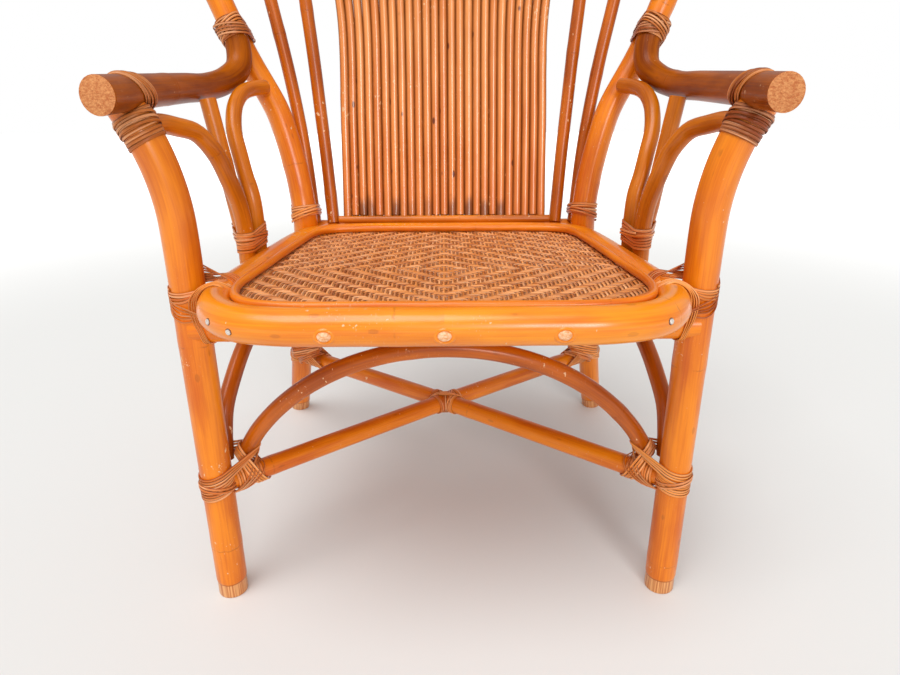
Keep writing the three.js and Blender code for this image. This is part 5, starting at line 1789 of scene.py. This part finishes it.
@dataclass
class Bindings:
    """Cane strand round every joint: the turns of each binding, group by group."""

    pitch: float = 0.0044
    seat_slant: float = 1.0
    seat_rise: float = 1.2
    arm_slant: float = 1.15
    arm_lap_back: float = 0.013
    foot_slant: float = 0.27
    lap_share: float = 0.74
    neck_drop: float = 0.0165
    cross_tilt: float = 0.34
    hoop_tilt: float = 0.4
    bent_clearance: float = GAP * 4.3
    arch_end_share: float = 0.04
    inward_share: float = 0.06
    foot_cross: float = 0.25
    arch_cross: float = 0.9
    arch_in: float = 0.004
    wrap_reach: float = 0.041
    spoke_foot_rise: float = 0.013
    crossing_reach: float = 0.0165
    collar_first: Marks = (
        (0.3103, -0.0148, 0.4385), (0.3165, 0.0000, 0.4395), (0.3103, 0.0148, 0.4410),
        (0.2955, 0.0213, 0.4435), (0.2800, 0.0200, 0.4470), (0.2654, 0.0140, 0.4446),
        (0.2550, 0.0060, 0.4474), (0.2470, -0.0020, 0.4460), (0.2550, -0.0120, 0.4478),
        (0.2695, -0.0180, 0.4420), (0.2810, -0.0195, 0.4395), (0.2955, -0.0213, 0.4385),
    )
    collar_last: Marks = (
        (0.3103, -0.0148, 0.4240), (0.3165, 0.0000, 0.4250), (0.3103, 0.0148, 0.4270),
        (0.2955, 0.0213, 0.4310), (0.2805, 0.0190, 0.4380), (0.2685, 0.0090, 0.4428),
        (0.2610, 0.0000, 0.4466), (0.2570, -0.0070, 0.4472), (0.2620, -0.0150, 0.4460),
        (0.2720, -0.0185, 0.4395), (0.2820, -0.0190, 0.4310), (0.2955, -0.0213, 0.4250),
    )
    hang_first: Marks = (
        (0.2450, -0.0300, 0.4455), (0.2545, -0.0290, 0.4488), (0.2690, -0.0270, 0.4425),
        (0.2785, -0.0235, 0.4290), (0.2785, -0.0228, 0.4080), (0.2755, -0.0232, 0.3920),
        (0.2725, -0.0185, 0.3755), (0.2700, -0.0050, 0.3712), (0.2660, 0.0080, 0.3745),
        (0.2600, 0.0145, 0.3900), (0.2450, 0.0100, 0.4040), (0.2330, -0.0100, 0.4180),
        (0.2335, -0.0230, 0.4330),
    )
    hang_last: Marks = (
        (0.2450, -0.0140, 0.4455), (0.2560, -0.0150, 0.4488), (0.2740, -0.0195, 0.4440),
        (0.2890, -0.0226, 0.4290), (0.2885, -0.0226, 0.4060), (0.2825, -0.0232, 0.3910),
        (0.2800, -0.0180, 0.3755), (0.2780, -0.0050, 0.3712), (0.2750, 0.0080, 0.3745),
        (0.2700, 0.0145, 0.3900), (0.2550, 0.0140, 0.4030), (0.2360, 0.0040, 0.4180),
        (0.2345, -0.0060, 0.4330),
    )

    def lashing(self, hand: Hand, first: Marks, last: Marks, turns: int) -> Lashing:
        """Loops marked for the right-hand side, laid on either side."""
        loops = [tuple((hand.value * x, y, z) for x, y, z in marks) for marks in (first, last)]
        return Lashing(*loops, turns)

    def seat_front(self, bench: Bench, hand: Hand) -> list:
        """Two crossed groups round leg and ring, and loops over ring and rail beside the leg."""
        bars = (f"front_leg_{hand.word}", "seat_ring")
        at = Vector((hand.value * bench.ring_spread, 0, bench.seat_level(0) + self.pitch * self.seat_rise))
        slant = Vector((0, -self.seat_slant, 1))
        return [
            Winding(bars, at, slant, 5, 0.0034, 0.0034, 0, ACROSS * hand.value),
            self.lashing(hand, self.collar_first, self.collar_last, 4),
            self.lashing(hand, self.hang_first, self.hang_last, 4),
        ]

    def arm_post(self, bench: Bench, hand: Hand) -> list:
        """Turns round the post below the arm, and a slanting group over the arm."""
        leg = f"front_leg_{hand.word}"
        out = ACROSS * hand.value
        arm = f"arm_{hand.word}"
        line = bench.poles[arm].line
        lap = line.at(line.share_where(1, self.arm_lap_back))
        slant = Vector((0, self.arm_slant, 1))
        flatter = Vector((0, self.arm_slant * 0.8, 1))
        neck, along = bench.spot(leg, bench.arm_height - bench.arm / 2 - self.neck_drop)
        return [
            Winding((leg,), neck, along, 8, 0.0042, 0.0040, 0, out),
            Winding((leg,), neck + UP * 0.004, along + BACKWARD * 0.22, 3, 0.0050, 0.0034, 1, out),
            Winding((arm,), lap, slant, 7, 0.0043, 0.0035, 0, out),
            Winding((arm,), lap, flatter, 2, 0.0060, 0.0032, 1, out),
        ]

    def arm_upright(self, bench: Bench, hand: Hand) -> list:
        """Turns round arm and upright with two slanted groups over them."""
        bars = (f"rear_leg_and_upright_{hand.word}", f"arm_{hand.word}")
        at, along = bench.spot(bars[0], bench.arm_height + bench.arm_upturn * self.lap_share)
        tilt = along.cross(BACKWARD).normalized() * self.cross_tilt
        return [
            Winding(bars, at, along, 8, 0.0037, 0.0034, 0, BACKWARD),
            Winding(bars, at, along + tilt, 4, 0.0044, 0.0034, 1, BACKWARD),
            Winding(bars, at, along - tilt, 4, 0.0044, 0.0034, 2, BACKWARD),
        ]

    def foot_joint(
        self, bench: Bench, hand: Hand, post: str, stretcher: str, arch: str, level: float
    ) -> list:
        """Turns round a leg and the feet of two arches, turns along the stretcher and crossed turns."""
        out = ACROSS * hand.value
        rise = self.pitch * 2 + self.bent_clearance - self.foot_slant * bench.leg / 2
        foot, _ = bench.spot(post, level + bench.stretcher / 2 + rise)
        seat, _ = bench.spot(post, level)
        toward = BACKWARD if arch == "front_arch" else -BACKWARD
        tilted = (out - toward).normalized() * self.foot_slant + UP
        bar = bench.poles[stretcher].line
        near = bar.share_near(seat)
        inward = bar.at(abs(near - self.inward_share)) - bar.at(near)
        inward = (inward - UP * inward.z).normalized()
        end = bench.poles[arch].line
        at_start = (end.at(0) - seat).length < (end.at(1) - seat).length
        arch_foot = end.at(0.0 if at_start else 1.0)
        arch_along = end.along(self.arch_end_share if at_start else 1 - self.arch_end_share)
        arch_along = arch_along if arch_along.z > 0 else -arch_along
        stretcher_along = bar.along(near)
        stretcher_along = stretcher_along if stretcher_along.dot(inward) > 0 else -stretcher_along
        wrapped = seat + inward * self.wrap_reach
        wrapped.z = bar.at(bar.share_near(wrapped)).z
        crossed = arch_foot + inward * self.arch_in - UP * 0.002
        bars = (stretcher, arch)
        lean = inward * self.foot_cross
        first_cross = stretcher_along + arch_along * self.arch_cross
        second_cross = arch_along - stretcher_along * self.arch_cross
        return [
            Winding((post, f"side_arch_{hand.word}", arch), foot, tilted, 4, 0.0042, 0.0034, 0, out),
            Winding((post,), seat + UP * 0.002, UP - lean, 6, 0.0035, 0.0035, 0, out),
            Winding((post,), seat + UP * 0.003, UP + lean, 2, 0.0050, 0.0035, 1, out),
            Winding((stretcher,), wrapped, stretcher_along, 10, 0.0036, 0.0036, 0, UP),
            Winding(bars, crossed, first_cross, 4, 0.0036, 0.0036, 1, UP),
            Winding(bars, crossed, second_cross, 4, 0.0036, 0.0036, 2, UP),
        ]

    def braces(self, bench: Bench, hand: Hand) -> list:
        """Turns round the three arm braces, just above the ring."""
        level = bench.seat_level(bench.bundle_back) + bench.ring / 2 + self.pitch * 3
        bars = tuple(f"arm_brace_{place}_{hand.word}" for place in ("front", "middle", "rear"))
        at, _ = bench.spot(bars[1], level)
        out = ACROSS * hand.value
        return [
            Winding(bars, at, UP, 7, 0.0043, 0.0042, 0, out),
            Winding(bars, at, UP + BACKWARD * 0.14, 1.6, 0.0044, 0.0036, 1, out),
        ]

    def seat_rear(self, bench: Bench, hand: Hand) -> list:
        """Turns round the upright and the foot of the outer spoke."""
        bars = (f"rear_leg_and_upright_{hand.word}", f"outer_spoke_{hand.word}")
        level = bench.rear_rail_level + self.spoke_foot_rise + self.pitch * 4.5
        at, along = bench.spot(bars[1], level)
        out = ACROSS * hand.value
        return [
            Winding(bars, at, along, 4, 0.0044, 0.0036, 0, out),
            Winding(bars, at - UP * 0.004, along + out * 0.22, 2.5, 0.0044, 0.0036, 1, out),
        ]

    def hoop_joint(self, bench: Bench, hand: Hand) -> list:
        """Turns over the butt of upright and hoop, with two slanted groups over them."""
        bars = (f"rear_leg_and_upright_{hand.word}",)
        line = bench.poles[bars[0]].line
        at, along = line.at(1), line.along(1)
        below, tilt = at - along * 0.001, ACROSS * self.hoop_tilt
        return [
            Winding(bars, at, along, 8, 0.0037, 0.0034, 0, BACKWARD),
            Winding(bars, below, along + tilt, 2, 0.0040, 0.0034, 1),
            Winding(bars, below, along - tilt, 2, 0.0040, 0.0034, 2),
        ]

    def crossing(self, bench: Bench) -> list:
        """Turns both ways over the crossing of the stretchers, and round each bar beside it."""
        bars = ("stretcher_front_left", "stretcher_front_right")
        lines = [bench.poles[name].line for name in bars]
        at = lerp(lines[0].at(lines[0].share_near(lines[1].at(0.5))), lines[1].at(0.5), 0.5)
        found = [
            Winding(bars, at, ACROSS, 4, 0.0036, 0.0036, 0, UP),
            Winding(bars, at, BACKWARD, 3, 0.0038, 0.0036, 1, UP),
        ]
        for name, line in zip(bars, lines):
            along = line.along(line.share_near(at))
            for side in (-1, 1):
                beside = line.at(line.share_near(at + along * (side * self.crossing_reach)))
                found.append(Winding((name,), beside, along, 2.5, 0.0036, 0.0034, 0, UP * side))
        return found

    def groups(self, bench: Bench) -> dict[str, list]:
        """The groups of turns of each binding, under its node's name."""
        found = {}
        for hand in Hand:
            word, across = hand.word, hand.other().word
            front = (f"front_leg_{word}", f"stretcher_front_{word}", "front_arch")
            rear = (f"rear_leg_and_upright_{word}", f"stretcher_front_{across}", "rear_arch")
            joints = {
                "seat_front": self.seat_front(bench, hand),
                "arm_post": self.arm_post(bench, hand),
                "arm_upright": self.arm_upright(bench, hand),
                "lower_front": self.foot_joint(bench, hand, *front, bench.stretcher_front_level),
                "lower_rear": self.foot_joint(bench, hand, *rear, bench.stretcher_rear_level),
                "braces": self.braces(bench, hand),
                "seat_rear": self.seat_rear(bench, hand),
                "hoop_joint": self.hoop_joint(bench, hand),
            }
            for joint, turns in joints.items():
                found[f"binding_{joint}_{word}"] = turns
        found["binding_stretcher_crossing"] = self.crossing(bench)
        return found

    def dress(self, bench: Bench) -> None:
        """Makes the piece of every binding."""
        for seed, (name, groups) in enumerate(self.groups(bench).items()):
            bm = bmesh.new()
            for number, group in enumerate(groups):
                strand = Strand(group.width)
                strand.laid(bm, group.rows(bench, strand, seed * 7 + number), seed * 7 + number, seed * 0.7)
            bmesh.ops.recalc_face_normals(bm, faces=bm.faces)
            finish = ARM_CANE if "arm" in name else BINDING_CANE
            piece(bm, f"{name}_strands", [name], Slot.STRAND, finish.material())


# THE STAGE


@dataclass
class Studio:
    """A plain pale floor, soft lights and the camera at the photograph's angle."""

    focal: float = 675.4
    frame_width: float = 900.0
    sensor: float = 36.0
    place: tuple[float, float, float] = (0.0012, -0.9631, 0.669)
    down: float = 21.65
    yaw: float = 0.38
    roll: float = -0.25
    floor_half: float = 7.0
    ambient: float = 0.50

    def camera(self) -> None:
        """Sets up the camera."""
        data = bpy.data.cameras.new("camera")
        data.sensor_width = self.sensor
        data.lens = self.focal * self.sensor / self.frame_width
        camera = bpy.data.objects.new("camera", data)
        bpy.context.scene.collection.objects.link(camera)
        down, yaw, roll = (math.radians(a) for a in (self.down, self.yaw, self.roll))
        ahead = Vector((math.sin(yaw) * math.cos(down), math.cos(yaw) * math.cos(down), -math.sin(down)))
        right = Vector((math.cos(yaw), -math.sin(yaw), 0))
        upward = right.cross(ahead)
        turned_right = right * math.cos(roll) + upward * math.sin(roll)
        turned_up = upward * math.cos(roll) - right * math.sin(roll)
        turn = Matrix((turned_right, turned_up, -ahead)).transposed()
        camera.matrix_world = Matrix.Translation(self.place) @ turn.to_4x4()
        bpy.context.scene.camera = camera

    def lamp(self, name: str, place: tuple, spread: float, strength: float) -> None:
        """Adds a distant soft lamp that faces the seat.

        Args:
            name: the lamp's name.
            place: where its light comes from.
            spread: the angle that it fills, in degrees.
            strength: its strength.
        """
        data = bpy.data.lights.new(name, "SUN")
        data.angle = math.radians(spread)
        data.energy = strength
        lamp = bpy.data.objects.new(name, data)
        lamp.location = place
        lamp.rotation_euler = (Vector((0, 0, 0.5)) - Vector(place)).to_track_quat("-Z", "Y").to_euler()
        bpy.context.scene.collection.objects.link(lamp)

    def floor(self) -> None:
        """Lays the floor."""
        bm = bmesh.new()
        bmesh.ops.create_grid(bm, x_segments=4, y_segments=4, size=self.floor_half)
        mesh = bpy.data.meshes.new("floor")
        bm.to_mesh(mesh)
        bm.free()
        mesh.materials.append(Stage("floor_paint").material())
        floor = bpy.data.objects.new("floor", mesh)
        bpy.context.scene.collection.objects.link(floor)
        floor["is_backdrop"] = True

    def sky(self) -> None:
        """Lights the stage evenly; the camera sees it white."""
        world = bpy.data.worlds.new("studio")
        world.use_nodes = True
        wiring = Wiring(world.node_tree)
        ray = wiring.add("LightPath").outputs
        seen = wiring.sum("MAXIMUM", ray["Is Camera Ray"], ray["Is Transmission Ray"])
        strength = wiring.scaled(seen, 1.0 - self.ambient, self.ambient)
        background = world.node_tree.nodes["Background"]
        background.inputs["Color"].default_value = (1, 1, 1, 1)
        wiring.feed(background.inputs["Strength"], strength)
        bpy.context.scene.world = world

    def set_up(self) -> None:
        """Sets up the whole stage."""
        self.camera()
        self.floor()
        self.sky()
        self.lamp("overhead", (-0.6, -0.9, 2.9), 40.0, 1.8)
        self.lamp("front", (0.8, -2.8, 1.55), 18.0, 1.1)
        bpy.context.scene.view_settings.view_transform = "Standard"


def write_sizes() -> None:
    """Sets the CAD box and the dressed chair's box beside each other as lists; nothing is written out."""
    boxes = {"cad": cad_box, "visual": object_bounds()}
    plain = {name: [list(corner) for corner in box] for name, box in boxes.items()}


def main() -> None:
    """Builds the chair's parts in order and dresses each."""
    logging.basicConfig(level=logging.INFO, format="%(message)s")
    Studio().set_up()
    bench = Bench()
    back, seat, fan = BackFrame(), SeatFrame(), FanBack()
    parts = (FrontLegs(), back, seat, UnderFrame(), Arms())
    for part in parts:
        part.lay_out(bench)
    fan.lay_out(bench, back)
    for part in parts:
        part.dress(bench)
    fan.dress(bench, back)
    WovenSeat().dress(bench, seat)
    Bindings().dress(bench)
    write_sizes()


if __name__ == "__main__":
    main()
